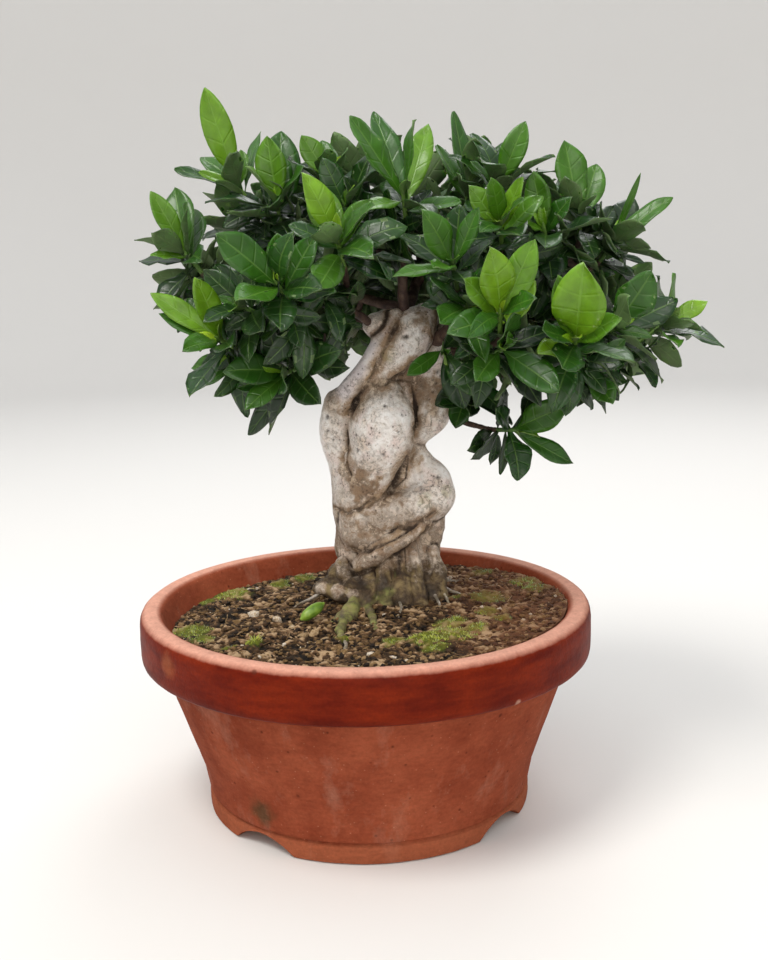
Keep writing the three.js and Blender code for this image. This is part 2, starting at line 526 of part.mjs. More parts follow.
function shootPhase(shoot, frame, index) {
  if (!shoot.tips.length) return 0.8 * index;
  const chord = vector(shoot.tips[0]).sub(frame.start);
  return Math.atan2(chord.dot(frame.front), chord.dot(frame.side));
}

// Turns a leaf's upper side about the leaf so that it stands nearly square to one side of its root.
function untwist(upward, along, axis) {
  const straight = axis.clone().addScaledVector(along, -axis.dot(along)).normalize();
  const across = along.clone().cross(straight);
  const twist = Math.atan2(upward.dot(across), upward.dot(straight));
  const nearest = Math.PI / 2 * Math.round(twist / (Math.PI / 2));
  const kept = nearest + THREE.MathUtils.clamp(twist - nearest, -facing.twist, facing.twist);
  upward.copy(straight).multiplyScalar(Math.cos(kept)).addScaledVector(across, Math.sin(kept));
}

// One leaf: where it is rooted, how it runs and which way its upper face looks. Each attempt after the
// first turns it and shortens it a little more.
function leafPose(shoot, frame, slot, seed, attempt) {
  const random = draws(seed);
  const shake = draws(seed + 32 + attempt);
  const radius = stemRadius(frame, slot.height) / 2;
  const base = beside(frame, slot.height, slot.angle, radius);
  const turn = slot.angle + radians(whorl.jitter * (2 * random() - 1));
  const lean = radians(whorl.lean[slot.ring] + whorl.jitter * (2 * random() - 1));
  const outward = beside(frame, 0, turn, 1).sub(frame.start);
  let chord = frame.axis.clone().multiplyScalar(Math.cos(lean)).addScaledVector(outward, Math.sin(lean));
  chord.z += whorl.lift * slot.ring;
  chord.normalize().multiplyScalar(shoot.size * whorl.sizes[slot.ring] * (0.92 + 0.16 * random()));
  let width = chord.length() * blade.width * (0.94 + 0.14 * random());
  const fold = 0.14 + 0.24 * random();
  const bend = -0.04 + 0.2 * random();
  const roll = 0.7 * (random() - 0.5);
  if (slot.point) {
    chord = vector(slot.point).sub(base);
    width = slot.point[3] ?? chord.length() * blade.width;
  }
  if (attempt > 0) {
    const step = (slot.point ? placing.heroTurn : placing.turn) * attempt * chord.length();
    const shorter = 1 - placing.shrink * attempt;
    chord.add(new THREE.Vector3(shake() - 0.5, shake() - 0.5, shake() - 0.5).multiplyScalar(step));
    chord.multiplyScalar(shorter);
    width *= shorter;
  }
  const along = chord.clone().normalize();
  const upward = frame.axis.clone().multiplyScalar(1 - 0.25 * slot.ring).add(new THREE.Vector3(0, 0, 0.5));
  upward.addScaledVector(frame.side, roll);
  if (slot.point) upward.addScaledVector(facing.front, facing.shown);
  else upward.addScaledVector(vector([base.x - trunkFoot[0], base.y - trunkFoot[1], 0]).normalize(), facing.outward);
  upward.addScaledVector(along, -upward.dot(along)).normalize();
  untwist(upward, along, frame.axis);
  const stretch = Math.hypot(1, bend);
  return {
    base, width, fold, bend, slot, length: chord.length() / stretch,
    along: along.clone().addScaledVector(upward, bend).divideScalar(stretch),
    upward: upward.clone().addScaledVector(along, -bend).divideScalar(stretch),
  };
}

// A point of the leaf: t from root to point, s millimetres to the side, above the blade's middle.
function leafPoint(leaf, t, s, above) {
  const side = leaf.along.clone().cross(leaf.upward);
  const rise = leaf.fold * Math.abs(s) / 2 - leaf.bend * leaf.length * t * t + above;
  return leaf.base.clone().addScaledVector(leaf.along, leaf.length * t).addScaledVector(side, s)
    .addScaledVector(leaf.upward, rise);
}

// The four corners across the blade: below on both sides, then above on both sides.
function bladeRing(leaf, t, half, thick) {
  return [leafPoint(leaf, t, half, -thick / 2), leafPoint(leaf, t, -half, -thick / 2),
    leafPoint(leaf, t, -half, thick / 2), leafPoint(leaf, t, half, thick / 2)];
}

// Adds a blade to a mesh, from the four points of a ring to its tip. Both faces are split alike.
function addBlade(points, triangles, leaf, root, clear = 0) {
  const half = leaf.width / 2 + clear;
  const thick = blade.thick + 2 * clear;
  let ring = root;
  for (const [t, share] of [[blade.shoulder, blade.shoulderWidth], [blade.belly, blade.bellyWidth]]) {
    const next = bladeRing(leaf, t, half * share, thick).map((p) => points.push(p) - 1);
    const [a, b, c, d] = ring;
    const [e, f, g, h] = next;
    triangles.push(a, b, e, b, f, e, b, c, g, b, g, f, c, d, h, c, h, g, d, a, e, d, e, h);
    ring = next;
  }
  const end = 1 + clear / leaf.length;
  const low = points.push(leafPoint(leaf, end, 0, -thick / 2)) - 1;
  const high = points.push(leafPoint(leaf, end, 0, thick / 2)) - 1;
  const [a, b, c, d] = ring;
  triangles.push(a, b, low, b, c, high, b, high, low, c, d, high, d, a, low, d, low, high);
}

// The face of a three-sided stem that a leaf grows out of, turned so that the blade twists least.
function rootFace(leaf, face, points) {
  const middle = points[face[0]].clone().add(points[face[2]]).multiplyScalar(0.5);
  const side = leaf.along.clone().cross(leaf.upward);
  const fit = (shift) => [[1, -1], [-1, -1], [-1, 1], [1, 1]].reduce((sum, [across, above], i) => {
    const corner = points[face[(i + shift) % 4]].clone().sub(middle);
    return sum + across * corner.dot(side) + above * corner.dot(leaf.upward);
  }, 0);
  const shift = [0, 1, 2, 3].sort((a, b) => fit(b) - fit(a))[0];
  return [0, 1, 2, 3].map((i) => face[(i + shift) % 4]);
}

// The four corners of a stem's face at a whorl, low then high.
function stemFace(frame, phase, ring, k) {
  const corner = (end, turn) => {
    const height = frame.heights[ring] + end * stem.faceHeight / 2;
    return beside(frame, height, phase + Math.PI / 3 * (ring + 2 * turn - 1), stemRadius(frame, height));
  };
  return [corner(-1, k), corner(-1, k + 1), corner(1, k + 1), corner(1, k)];
}

// Whether a mesh has two triangles with no corner in common that run through each other.
function crossesItself(points, triangles) {
  const faces = [];
  for (let i = 0; i < triangles.length; i += 3) faces.push(triangles.slice(i, i + 3));
  const hit = new THREE.Vector3();
  const pierces = (from, to, face) => {
    const ray = new THREE.Ray(from, to.clone().sub(from).normalize());
    const found = ray.intersectTriangle(...face.map((corner) => points[corner]), false, hit);
    return found && hit.distanceTo(from) < to.distanceTo(from);
  };
  return faces.some((one) => faces.some((other) => !one.some((corner) => other.includes(corner))
    && one.some((corner, i) => pierces(points[corner], points[one[(i + 1) % 3]], other))));
}

// A leaf as it is in its shoot, from its root on the stem, or nothing where it can't grow there.
function wholeLeaf(frame, phase, leaf) {
  const outward = beside(frame, 0, leaf.slot.angle, 1).sub(frame.start);
  if (leaf.along.dot(outward) < placing.steepest) return null;
  const points = stemFace(frame, phase, leaf.slot.ring, leaf.slot.k);
  const triangles = [0, 2, 1, 0, 3, 2];
  addBlade(points, triangles, leaf, rootFace(leaf, [0, 1, 2, 3], points));
  return crossesItself(points, triangles) ? null : solid(meshFrom(points, triangles));
}

// A blade by itself, from a share of its length on and a little fatter, to test that it is clear.
function bladeRoom(leaf, from, clear) {
  const half = THREE.MathUtils.lerp(stem.radius * 0.8, leaf.width / 2 * blade.shoulderWidth, from / blade.shoulder);
  const points = bladeRing(leaf, from, half + clear, blade.thick + 2 * clear);
  const triangles = [0, 2, 1, 0, 3, 2];
  addBlade(points, triangles, leaf, [0, 1, 2, 3], clear);
  return solid(meshFrom(points, triangles));
}

// The stem and all leaves of a shoot as one closed mesh. A leaf grows out of its own face of the stem.
function shootMesh(frame, phase, leaves) {
  const points = [];
  const triangles = [];
  const corners = (height, ring) => [0, 1, 2].map((k) =>
    points.push(beside(frame, height, phase + Math.PI / 3 * (ring + 2 * k - 1), stemRadius(frame, height))) - 1);
  const rings = [...frame.heights.keys()].reverse();
  let below = corners(gap, rings[0]);
  triangles.push(below[0], below[2], below[1]);
  for (const ring of rings) {
    const low = corners(frame.heights[ring] - stem.faceHeight / 2, ring);
    const high = corners(frame.heights[ring] + stem.faceHeight / 2, ring);
    for (let k = 0; k < 3; k++) {
      const next = (k + 1) % 3;
      triangles.push(below[k], below[next], low[next], below[k], low[next], low[k]);
      const leaf = leaves.find((one) => one.slot.ring === ring && one.slot.k === k);
      const face = [low[k], low[next], high[next], high[k]];
      if (leaf) addBlade(points, triangles, leaf, rootFace(leaf, face, points));
      else triangles.push(face[0], face[1], face[2], face[0], face[2], face[3]);
    }
    below = high;
  }
  const bud = points.push(beside(frame, frame.length + stem.bud, 0, 0)) - 1;
  triangles.push(below[0], below[1], bud, below[1], below[2], bud, below[2], below[0], bud);
  return solid(meshFrom(points, triangles));
}

function boxesMeet(a, b) {
  return [0, 1, 2].every((i) => a.min[i] <= b.max[i] && b.min[i] <= a.max[i]);
}

function crosses(room, others) {
  const box = room.boundingBox();
  return others.some((other) => boxesMeet(box, other.box) && room.intersect(other.body).volume() > placing.scrap);
}

function boxed(body) {
  return { body, box: body.boundingBox() };
}

// Whether a leaf stands before the part of the trunk that stays in sight.
function hidesTrunk(leaf) {
  const { eye, depth, outline } = openFront;
  const half = leaf.width / 2;
  const spots = [[0.3, 0], [0.6, half], [0.6, -half], [0.8, 0], [1, 0]].map(([t, s]) => leafPoint(leaf, t, s, 0));
  return spots.some((spot) => {
    const reach = (depth - eye[1]) / (spot.y - eye[1]);
    const x = eye[0] + (spot.x - eye[0]) * reach;
    const z = eye[2] + (spot.z - eye[2]) * reach;
    const crossings = outline.filter(([x0, z0], i) => {
      const [x1, z1] = outline[(i + 1) % outline.length];
      return (z0 > z) !== (z1 > z) && x < x0 + ((x1 - x0) * (z - z0)) / (z1 - z0);
    });
    return reach > 1 && crossings.length % 2 === 1;
  });
}

// Grows the leaves of every shoot. A leaf takes its first pose that is clear of all other pieces.
function growShoots(wood) {
  const plants = Object.entries(shoots).map(([name, shoot], index) => {
    const frame = shootFrame(shoot);
    const phase = shootPhase(shoot, frame, index);
    const bare = boxed(shootMesh(frame, phase, []));
    return { name, shoot, index, frame, phase, bare, slots: leafSlots(shoot, frame, phase), leaves: [], rooms: [],
      wholes: [] };
  });
  const most = Math.max(...plants.map((plant) => plant.shoot.count));
  for (let i = 0; i < most; i++) {
    for (const plant of plants) {
      if (i >= plant.shoot.count) continue;
      const rest = plants.filter((other) => other !== plant);
      const others = [...wood, ...rest.map((other) => other.bare), ...rest.flatMap((other) => other.rooms)];
      for (let attempt = 0; attempt < placing.attempts; attempt++) {
        const seed = 4096 * plant.index + 64 * i + 1;
        const leaf = leafPose(plant.shoot, plant.frame, plant.slots[i], seed, attempt);
        if (!plant.slots[i].point && hidesTrunk(leaf)) continue;
        if (crosses(bladeRoom(leaf, 0.1, placing.clear), others)) continue;
        if (crosses(bladeRoom(leaf, 0.2, placing.ownClear), [...plant.rooms, plant.bare])) continue;
        const whole = wholeLeaf(plant.frame, plant.phase, leaf);
        if (!whole || crosses(whole, [...plant.wholes, plant.bare])) continue;
        plant.wholes.push(boxed(whole));
        plant.leaves.push(leaf);
        plant.rooms.push(boxed(bladeRoom(leaf, 0.1, 0)));
        break;
      }
    }
  }
  return plants.map((plant) => ({
    name: plant.name, young: plant.shoot.young, leaves: plant.leaves.length, asked: plant.shoot.count,
    body: shootMesh(plant.frame, plant.phase, plant.leaves),
  }));
}

function material(colour, roughness) {
  return new THREE.MeshStandardMaterial({ color: colour, roughness, metalness: 0, flatShading: true });
}

function piece(name, body, surface) {
  const mesh = new THREE.Mesh(geometryOf(body), surface);
  mesh.name = name;
  return mesh;
}

function build() {
  const bonsai = new THREE.Group();
  const grownTrunk = makeTrunk(gap);
  const trunk = makeTrunk();
  const bud = makeBud();
  const pot = makePot();
  const soil = largest(makeSoil().subtract(grownTrunk));
  const limbBodies = Object.keys(limbs).map((name) => ({ name, body: makeLimb(name, grownTrunk) }));
  const wood = [trunk, soil, pot, ...limbBodies.map((limb) => limb.body)].map(boxed);

  bonsai.add(piece("pot", pot, material(colours.pot, 0.8)));
  bonsai.add(piece("soil", soil, material(colours.soil, 1)));
  bonsai.add(piece("trunk", trunk, material(colours.trunk, 0.75)));
  bonsai.add(piece("fallen_bud", bud, material(colours.bud, 0.5)));
  for (const { name, body } of limbBodies) bonsai.add(piece(name, body, material(colours.limb, 0.85)));
  for (const { name, young, body } of growShoots(wood)) {
    const green = new THREE.Color(colours.oldLeaf).lerp(new THREE.Color(colours.youngLeaf), young);
    bonsai.add(piece(`shoot_${name}`, body, material(green, 0.4)));
  }

  // The part's origin is the middle of its footprint, on the surface that the pot stands on.
  const span = new THREE.Box3().setFromObject(bonsai);
  const middle = span.getCenter(new THREE.Vector3());
  bonsai.position.set(-middle.x, -middle.y, -span.min.z);
  const part = new THREE.Group();
  part.add(bonsai);
  return part;
}

export default build();
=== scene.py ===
# A gardenia bonsai in its round terracotta pot. Shapes are worked out in millimetres from the pot's axis,
# with the front towards -Y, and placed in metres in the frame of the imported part.
import math
import random

import bmesh
import bpy
import numpy as np
from mathutils import Matrix, Vector, kdtree, noise


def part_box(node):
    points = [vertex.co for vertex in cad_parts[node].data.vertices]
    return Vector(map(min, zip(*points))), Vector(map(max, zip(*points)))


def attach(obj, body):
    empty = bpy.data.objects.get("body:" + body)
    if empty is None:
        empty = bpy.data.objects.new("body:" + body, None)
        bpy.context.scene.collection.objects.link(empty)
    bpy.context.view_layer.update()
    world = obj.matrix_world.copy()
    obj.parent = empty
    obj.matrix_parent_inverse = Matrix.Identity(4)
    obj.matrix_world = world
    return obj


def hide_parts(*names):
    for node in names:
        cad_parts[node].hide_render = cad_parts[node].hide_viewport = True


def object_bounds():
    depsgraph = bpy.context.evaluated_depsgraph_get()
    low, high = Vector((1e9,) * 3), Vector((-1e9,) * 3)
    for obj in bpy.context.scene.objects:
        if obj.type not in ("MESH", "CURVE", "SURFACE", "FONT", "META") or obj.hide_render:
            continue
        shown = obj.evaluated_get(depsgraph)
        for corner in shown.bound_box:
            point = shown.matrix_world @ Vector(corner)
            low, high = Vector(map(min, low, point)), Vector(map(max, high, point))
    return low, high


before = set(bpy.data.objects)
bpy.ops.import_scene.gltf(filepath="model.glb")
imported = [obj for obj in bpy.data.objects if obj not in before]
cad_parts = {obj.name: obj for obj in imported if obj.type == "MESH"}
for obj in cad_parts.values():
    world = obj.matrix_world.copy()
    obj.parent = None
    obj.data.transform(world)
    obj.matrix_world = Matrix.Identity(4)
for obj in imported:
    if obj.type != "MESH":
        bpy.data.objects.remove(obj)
cadLow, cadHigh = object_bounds()
potLow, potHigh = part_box("pot")
footDrop = 3  # the pot's foot reaches this far below the height that shapes are measured from
potAxis = np.array([(potLow.x + potHigh.x) / 2, (potLow.y + potHigh.y) / 2, potLow.z + footDrop / 1000])


# helpers

def linear(hexColour):
    channels = [int(hexColour[i:i + 2], 16) / 255 for i in (1, 3, 5)]
    bent = [c / 12.92 if c <= 0.04045 else ((c + 0.055) / 1.055) ** 2.4 for c in channels]
    return (*bent, 1.0)


def cellsOf(millimetres):
    return 1000 / millimetres


# Sets a node's inputs to numbers, hex colours, a node's first output or a (node, output) pair.
def setInputs(tree, node, inputs):
    for name, value in inputs.items():
        source, output = value if isinstance(value, tuple) and hasattr(value[0], "outputs") else (value, 0)
        if hasattr(source, "outputs"):
            tree.links.new(source.outputs[output], node.inputs[name])
        else:
            node.inputs[name].default_value = linear(value) if isinstance(value, str) else value


def addNode(tree, kind, inputs=None, stops=None, **settings):
    made = tree.nodes.new("ShaderNode" + kind)
    for name, value in settings.items():
        setattr(made, name, value)
    setInputs(tree, made, inputs or {})
    if stops:
        elements = made.color_ramp.elements
        while len(elements) < len(stops):
            elements.new(0.5)
        for element, (place, colour) in zip(elements, stops):
            element.position = place
            element.color = linear(colour)
    return made


def newMaterial(name):
    material = bpy.data.materials.new(name)
    material.use_nodes = True
    tree = material.node_tree
    return material, tree, tree.nodes["Principled BSDF"]


def alone(piece):
    bpy.ops.object.select_all(action="DESELECT")
    piece.select_set(True)
    bpy.context.view_layer.objects.active = piece


def inMetres(points):
    return (np.asarray(points, float) / 1000 + potAxis).tolist()


def newObject(name, data):
    made = bpy.data.objects.new(name, data)
    bpy.context.collection.objects.link(made)
    return made


def newPiece(name, points, faces, edges=()):
    mesh = bpy.data.meshes.new(name)
    mesh.from_pydata(inMetres(points), edges, faces)
    return newObject(name, mesh)


def applyAll(piece):
    alone(piece)
    for modifier in list(piece.modifiers):
        bpy.ops.object.modifier_apply(modifier=modifier.name)


def dress(piece, material, nodes=(), smooth=True):
    piece.data.materials.clear()
    piece.data.materials.append(material)
    if smooth:
        piece.data.polygons.foreach_set("use_smooth", [True] * len(piece.data.polygons))
    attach(piece, "root")
    if nodes:
        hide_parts(*nodes)


def setFacts(piece, name, values):
    facts = piece.data.attributes.new(name, "FLOAT_COLOR", "POINT")
    facts.data.foreach_set("color", np.asarray(values, np.float32).ravel())


def pointsOf(piece):
    flat = np.zeros(len(piece.data.vertices) * 3, np.float32)
    piece.data.vertices.foreach_get("co", flat)
    return (flat.reshape(-1, 3).astype(float) - potAxis) * 1000


def movePoints(piece, points):
    flat = (np.asarray(points) / 1000 + potAxis).astype(np.float32).ravel()
    piece.data.vertices.foreach_set("co", flat)
    piece.data.update()


def normalsOf(piece):
    flat = np.zeros(len(piece.data.vertices) * 3, np.float32)
    piece.data.vertices.foreach_get("normal", flat)
    return flat.reshape(-1, 3).astype(float)


def pushOut(piece, rise):
    points = pointsOf(piece)
    movePoints(piece, points + normalsOf(piece) * np.asarray(rise)[:, None])


def relax(piece, name, rounds):
    modifier = piece.modifiers.new(name, "SMOOTH")
    modifier.factor = 0.5
    modifier.iterations = rounds
    applyAll(piece)


# Soft noise at the points, from about -1 to 1, with lumps of a size in millimetres.
def lumps(points, size, seed=0.0):
    shift = Vector((seed, seed * 1.7, -seed))
    return np.array([noise.noise(Vector(p) / size + shift) for p in points])


def unit(v):
    return v / np.linalg.norm(v)


def ease(value, low, high):
    t = np.clip((value - low) / (high - low), 0, 1)
    return t * t * (3 - 2 * t)


def smoothPath(stations, steps):
    s = np.array(stations, float)
    padded = np.vstack([2 * s[0] - s[1], s, 2 * s[-1] - s[-2]])
    path = []
    for i in range(len(s) - 1):
        a, b, c, d = padded[i:i + 4]
        for k in range(steps):
            t = k / steps
            path.append(0.5 * (2 * b + (c - a) * t + (2 * a - 5 * b + 4 * c - d) * t * t
                               + (3 * b - a - 3 * c + d) * t ** 3))
    path.append(s[-1])
    return np.array(path)


# Faces of a disc: a fan round its middle point, then rings of n points that follow outwards.
def discFaces(rings, n):
    faces = [(0, 1 + k, 1 + (k + 1) % n) for k in range(n)]
    for i in range(rings - 1):
        for k in range(n):
            a, b = 1 + i * n + k, 1 + i * n + (k + 1) % n
            faces.append((a, a + n, b + n, b))
    return faces


# A closed tube with changing radius along [x, y, z, radius] stations, its ends rounded or flat.
def tube(stations, sides, rounded=True):
    s = np.array(stations, float)
    along = np.gradient(s[:, :3], axis=0)
    along /= np.linalg.norm(along, axis=1)[:, None]
    side = None
    frames = []
    for direction in along:
        first = (0, 0, 1.0) if abs(direction[2]) < 0.9 else (1.0, 0, 0)
        guess = side if side is not None else np.array(first)
        side = unit(guess - direction * guess.dot(direction))
        frames.append((side, np.cross(direction, side)))
    rings = [(s[i, :3], s[i, 3], frames[i]) for i in range(len(s))]
    if rounded:
        for reach, swell in ((0.45, 0.87), (0.8, 0.55)):
            rings.insert(0, (s[0, :3] - along[0] * s[0, 3] * reach, s[0, 3] * swell, frames[0]))
            rings.append((s[-1, :3] + along[-1] * s[-1, 3] * reach, s[-1, 3] * swell, frames[-1]))
    angles = np.arange(sides) / sides * 2 * math.pi
    points = []
    for centre, radius, (across, up) in rings:
        ring = centre + radius * (np.cos(angles)[:, None] * across + np.sin(angles)[:, None] * up)
        points.extend(ring.tolist())
    faces = []
    for r in range(len(rings) - 1):
        for k in range(sides):
            n = (k + 1) % sides
            faces.append((r * sides + k, r * sides + n, (r + 1) * sides + n, (r + 1) * sides + k))
    endStep = 0.95 if rounded else 0.0
    head = len(points)
    points.append((s[0, :3] - along[0] * s[0, 3] * endStep).tolist())
    points.append((s[-1, :3] + along[-1] * s[-1, 3] * endStep).tolist())
    last = (len(rings) - 1) * sides
    for k in range(sides):
        n = (k + 1) % sides
        faces.append((head, n, k))
        faces.append((head + 1, last + k, last + n))
    return points, faces


def joined(parts):
    points, faces = [], []
    for somePoints, someFaces in parts:
        shift = len(points)
        points.extend(somePoints)
        faces.extend(tuple(i + shift for i in face) for face in someFaces)
    return points, faces


# camera

# The photo's place and angle: millimetres from the pot's axis, degrees, and the lens.
cameraLook = dict(place=(-3, -727, 338), pitch=10.81, yaw=1.26, roll=-1.11, lens=45, sensor=36)


def makeCamera():
    pitch, yaw, roll = (math.radians(cameraLook[k]) for k in ("pitch", "yaw", "roll"))
    forward = Vector((math.sin(yaw) * math.cos(pitch), math.cos(yaw) * math.cos(pitch), -math.sin(pitch)))
    level = Vector((math.cos(yaw), -math.sin(yaw), 0))
    upright = level.cross(forward)
    right = math.cos(roll) * level + math.sin(roll) * upright
    up = -math.sin(roll) * level + math.cos(roll) * upright
    data = bpy.data.cameras.new("camera")
    data.lens = cameraLook["lens"]
    data.sensor_width = cameraLook["sensor"]
    data.clip_start = 0.01
    camera = newObject("camera", data)
    turned = Matrix((right, up, -forward)).transposed()
    camera.matrix_world = Matrix.Translation(inMetres(cameraLook["place"])) @ turned.to_4x4()
    bpy.context.scene.camera = camera


makeCamera()
print("camera placed")


# pot

# Fired red earthenware: porous, matt and speckled, with a rim band that was burnished smooth and dark, and a
# pale lip that is partly worn clay and partly a painted highlight.
clay = dict(dark="#6a2a18", middle="#84402a", light="#9a5238", fleck="#b98468", soot="#4a2014",
            stain="#3b3420", ochre="#945330", bandDark="#541204", bandLight="#6e2008", lip="#d8a692",
            foot="#95553a", salts="#b58a76")
# pits, chips and rubbed places on the clay, as (x, y, z, size, colour)
clayMarks = [(-41, -102, 40, 1.8, "soot"), (73, -100, 84, 1.5, "soot"), (8, -109, 62, 1.1, "soot"),
             (-70, -86, 55, 1.2, "salts"), (26, -112, 71, 1.0, "salts"), (81, -113, 96, 2.4, "salts"),
             (-60, -125, 122, 2.0, "soot"), (-112, -83, 112, 9, "ochre"), (60, 90, 45, 7, "salts"),
             (-90, 60, 30, 6, "stain")]


def firedClay():
    material, tree, shader = newMaterial("firedEarthenware")
    place = addNode(tree, "TexCoord")
    centred = addNode(tree, "Mapping", {"Vector": (place, "Object"), "Location": tuple(-potAxis)})
    flat = addNode(tree, "Mapping", {"Vector": centred, "Scale": (1, 1, 0)})
    radius = addNode(tree, "VectorMath", {0: flat}, operation="LENGTH")
    height = addNode(tree, "SeparateXYZ", {0: centred})
    wear = addNode(tree, "TexNoise", {"Vector": centred, "Scale": cellsOf(5), "Detail": 5.0})
    worn = addNode(tree, "MapRange", {"Value": wear, "To Min": -0.0022, "To Max": 0.0022})
    roughZ = addNode(tree, "Math", {0: (height, 2), 1: worn}, operation="ADD")
    broad = addNode(tree, "TexNoise", {"Vector": centred, "Scale": cellsOf(38), "Detail": 6.0,
                                       "Roughness": 0.62})
    body = addNode(tree, "ValToRGB", {0: broad},
                   [(0.2, clay["dark"]), (0.48, clay["middle"]), (0.8, clay["light"])])
    # clay flecks of sand and lime, 0.6 to 1.5 mm across
    grit = addNode(tree, "TexVoronoi", {"Vector": centred, "Scale": cellsOf(4.5)})
    sand = addNode(tree, "MapRange", {"Value": grit, "From Min": 0.04, "From Max": 0.12, "To Min": 0.45,
                                      "To Max": 0.0})
    soot = addNode(tree, "TexVoronoi", {"Vector": centred, "Scale": cellsOf(9)})
    sooty = addNode(tree, "MapRange", {"Value": soot, "From Min": 0.05, "From Max": 0.13, "To Min": 0.7,
                                       "To Max": 0.0})
    # pale salts that dried on the wall in soft vertical clouds
    stretched = addNode(tree, "Mapping", {"Vector": centred, "Scale": (1, 1, 0.45)})
    cloud = addNode(tree, "TexNoise", {"Vector": stretched, "Scale": cellsOf(26), "Detail": 7.0,
                                       "Roughness": 0.7})
    salts = addNode(tree, "MapRange", {"Value": cloud, "From Min": 0.54, "From Max": 0.8, "To Min": 0.0,
                                       "To Max": 0.4})
    footMask = addNode(tree, "MapRange", {"Value": roughZ, "From Min": 0.0078, "From Max": 0.0098,
                                          "To Min": 0.6, "To Max": 0.0})
    # a greenish damp stain above the arch at the front left
    spot = addNode(tree, "VectorMath", {0: centred, 1: (-0.063, -0.083, 0.022)}, operation="DISTANCE")
    ragged = addNode(tree, "MapRange", {"Value": wear, "To Min": -0.006, "To Max": 0.006})
    damp = addNode(tree, "Math", {0: (spot, 1), 1: ragged}, operation="ADD")
    dampMask = addNode(tree, "MapRange", {"Value": damp, "From Min": 0.003, "From Max": 0.012, "To Min": 0.75,
                                          "To Max": 0.0})
    # the burnished band, masked by height and by distance from the axis
    smear = addNode(tree, "Mapping", {"Vector": centred, "Scale": (1, 1, 4)})
    bandNoise = addNode(tree, "TexNoise", {"Vector": smear, "Scale": cellsOf(30), "Detail": 5.0})
    bandTone = addNode(tree, "ValToRGB", {0: bandNoise},
                       [(0.35, clay["bandDark"]), (0.65, clay["bandLight"])])
    above = addNode(tree, "MapRange", {"Value": roughZ, "From Min": 0.0938, "From Max": 0.0948})
    rimZ = addNode(tree, "Math", {0: worn, 1: 0.3, 2: (height, 2)}, operation="MULTIPLY_ADD")
    below = addNode(tree, "MapRange", {"Value": rimZ, "From Min": 0.1212, "From Max": 0.1242, "To Min": 1.0,
                                       "To Max": 0.0})
    outer = addNode(tree, "MapRange", {"Value": (radius, 1), "From Min": 0.131, "From Max": 0.134})
    tall = addNode(tree, "Math", {0: above, 1: below}, operation="MULTIPLY")
    band = addNode(tree, "Math", {0: tall, 1: outer}, operation="MULTIPLY")
    # the lip's top is paler: partly its worn clay, partly a painted highlight where it faces the light above
    lipTop = addNode(tree, "MapRange", {"Value": rimZ, "From Min": 0.1215, "From Max": 0.1245})
    lipOuter = addNode(tree, "MapRange", {"Value": (radius, 1), "From Min": 0.1265, "From Max": 0.1295,
                                          "To Max": 0.7})
    lipMask = addNode(tree, "Math", {0: lipTop, 1: lipOuter}, operation="MULTIPLY")
    coats = [(sand, clay["fleck"]), (sooty, clay["soot"]), (salts, clay["salts"]), (footMask, clay["foot"]),
             (dampMask, clay["stain"]), (band, bandTone), (lipMask, clay["lip"])]
    for x, y, z, size, colour in clayMarks:
        apart = addNode(tree, "VectorMath", {0: centred, 1: (x / 1000, y / 1000, z / 1000)},
                        operation="DISTANCE")
        frayed = addNode(tree, "Math", {0: worn, 1: 0.15 * size, 2: (apart, 1)}, operation="MULTIPLY_ADD")
        mark = addNode(tree, "MapRange", {"Value": frayed, "From Min": size * 0.0004,
                                          "From Max": size * 0.001, "To Min": 0.7 if size < 3 else 0.45,
                                          "To Max": 0.0})
        coats.append((mark, clay[colour]))
    for where, colour in coats:
        body = (addNode(tree, "Mix", {0: where, 6: body, 7: colour}, data_type="RGBA"), 2)
    fine = addNode(tree, "TexNoise", {"Vector": centred, "Scale": cellsOf(1.6), "Detail": 4.0})
    streaky = addNode(tree, "Mapping", {"Vector": centred, "Scale": (0.35, 0.35, 1)})
    drag = addNode(tree, "TexNoise", {"Vector": streaky, "Scale": cellsOf(2.2), "Detail": 4.0})
    both = addNode(tree, "Math", {0: fine, 1: drag}, operation="ADD")
    tint = addNode(tree, "MapRange", {"Value": both, "From Min": 0.6, "From Max": 1.4, "To Min": 0.8,
                                      "To Max": 1.2})
    toned = addNode(tree, "HueSaturation", {"Color": body, "Value": tint})
    matt = addNode(tree, "MapRange", {"Value": band, "To Min": 0.88, "To Max": 0.5})
    polish = addNode(tree, "MapRange", {"Value": wear, "To Min": -0.08, "To Max": 0.1})
    roughness = addNode(tree, "Math", {0: matt, 1: polish}, operation="ADD")
    pits = addNode(tree, "Math", {0: fine, 1: sand}, operation="SUBTRACT")
    grain = addNode(tree, "Bump", {"Height": pits, "Strength": 0.35, "Distance": 0.0004})
    dents = addNode(tree, "Bump", {"Height": wear, "Strength": 0.25, "Distance": 0.0008, "Normal": grain})
    setInputs(tree, shader, {"Base Color": toned, "Roughness": roughness, "Specular IOR Level": 0.07,
                             "Normal": dents})
    return material


# A bowl of 168 turned sectors, with four arches cut through its foot ring. Angles are in degrees.
potShape = dict(steps=168, finest=5, notchCount=4, notchFirst=-39, notchHalf=23, notchHeight=10,
                footBottom=-3, footRadius=102, cutterSides=96, cutterDepth=34, edgeBevel=0.9, bevelAngle=55,
                smoothAngle=40, wobble=0.4, dent=0.22)
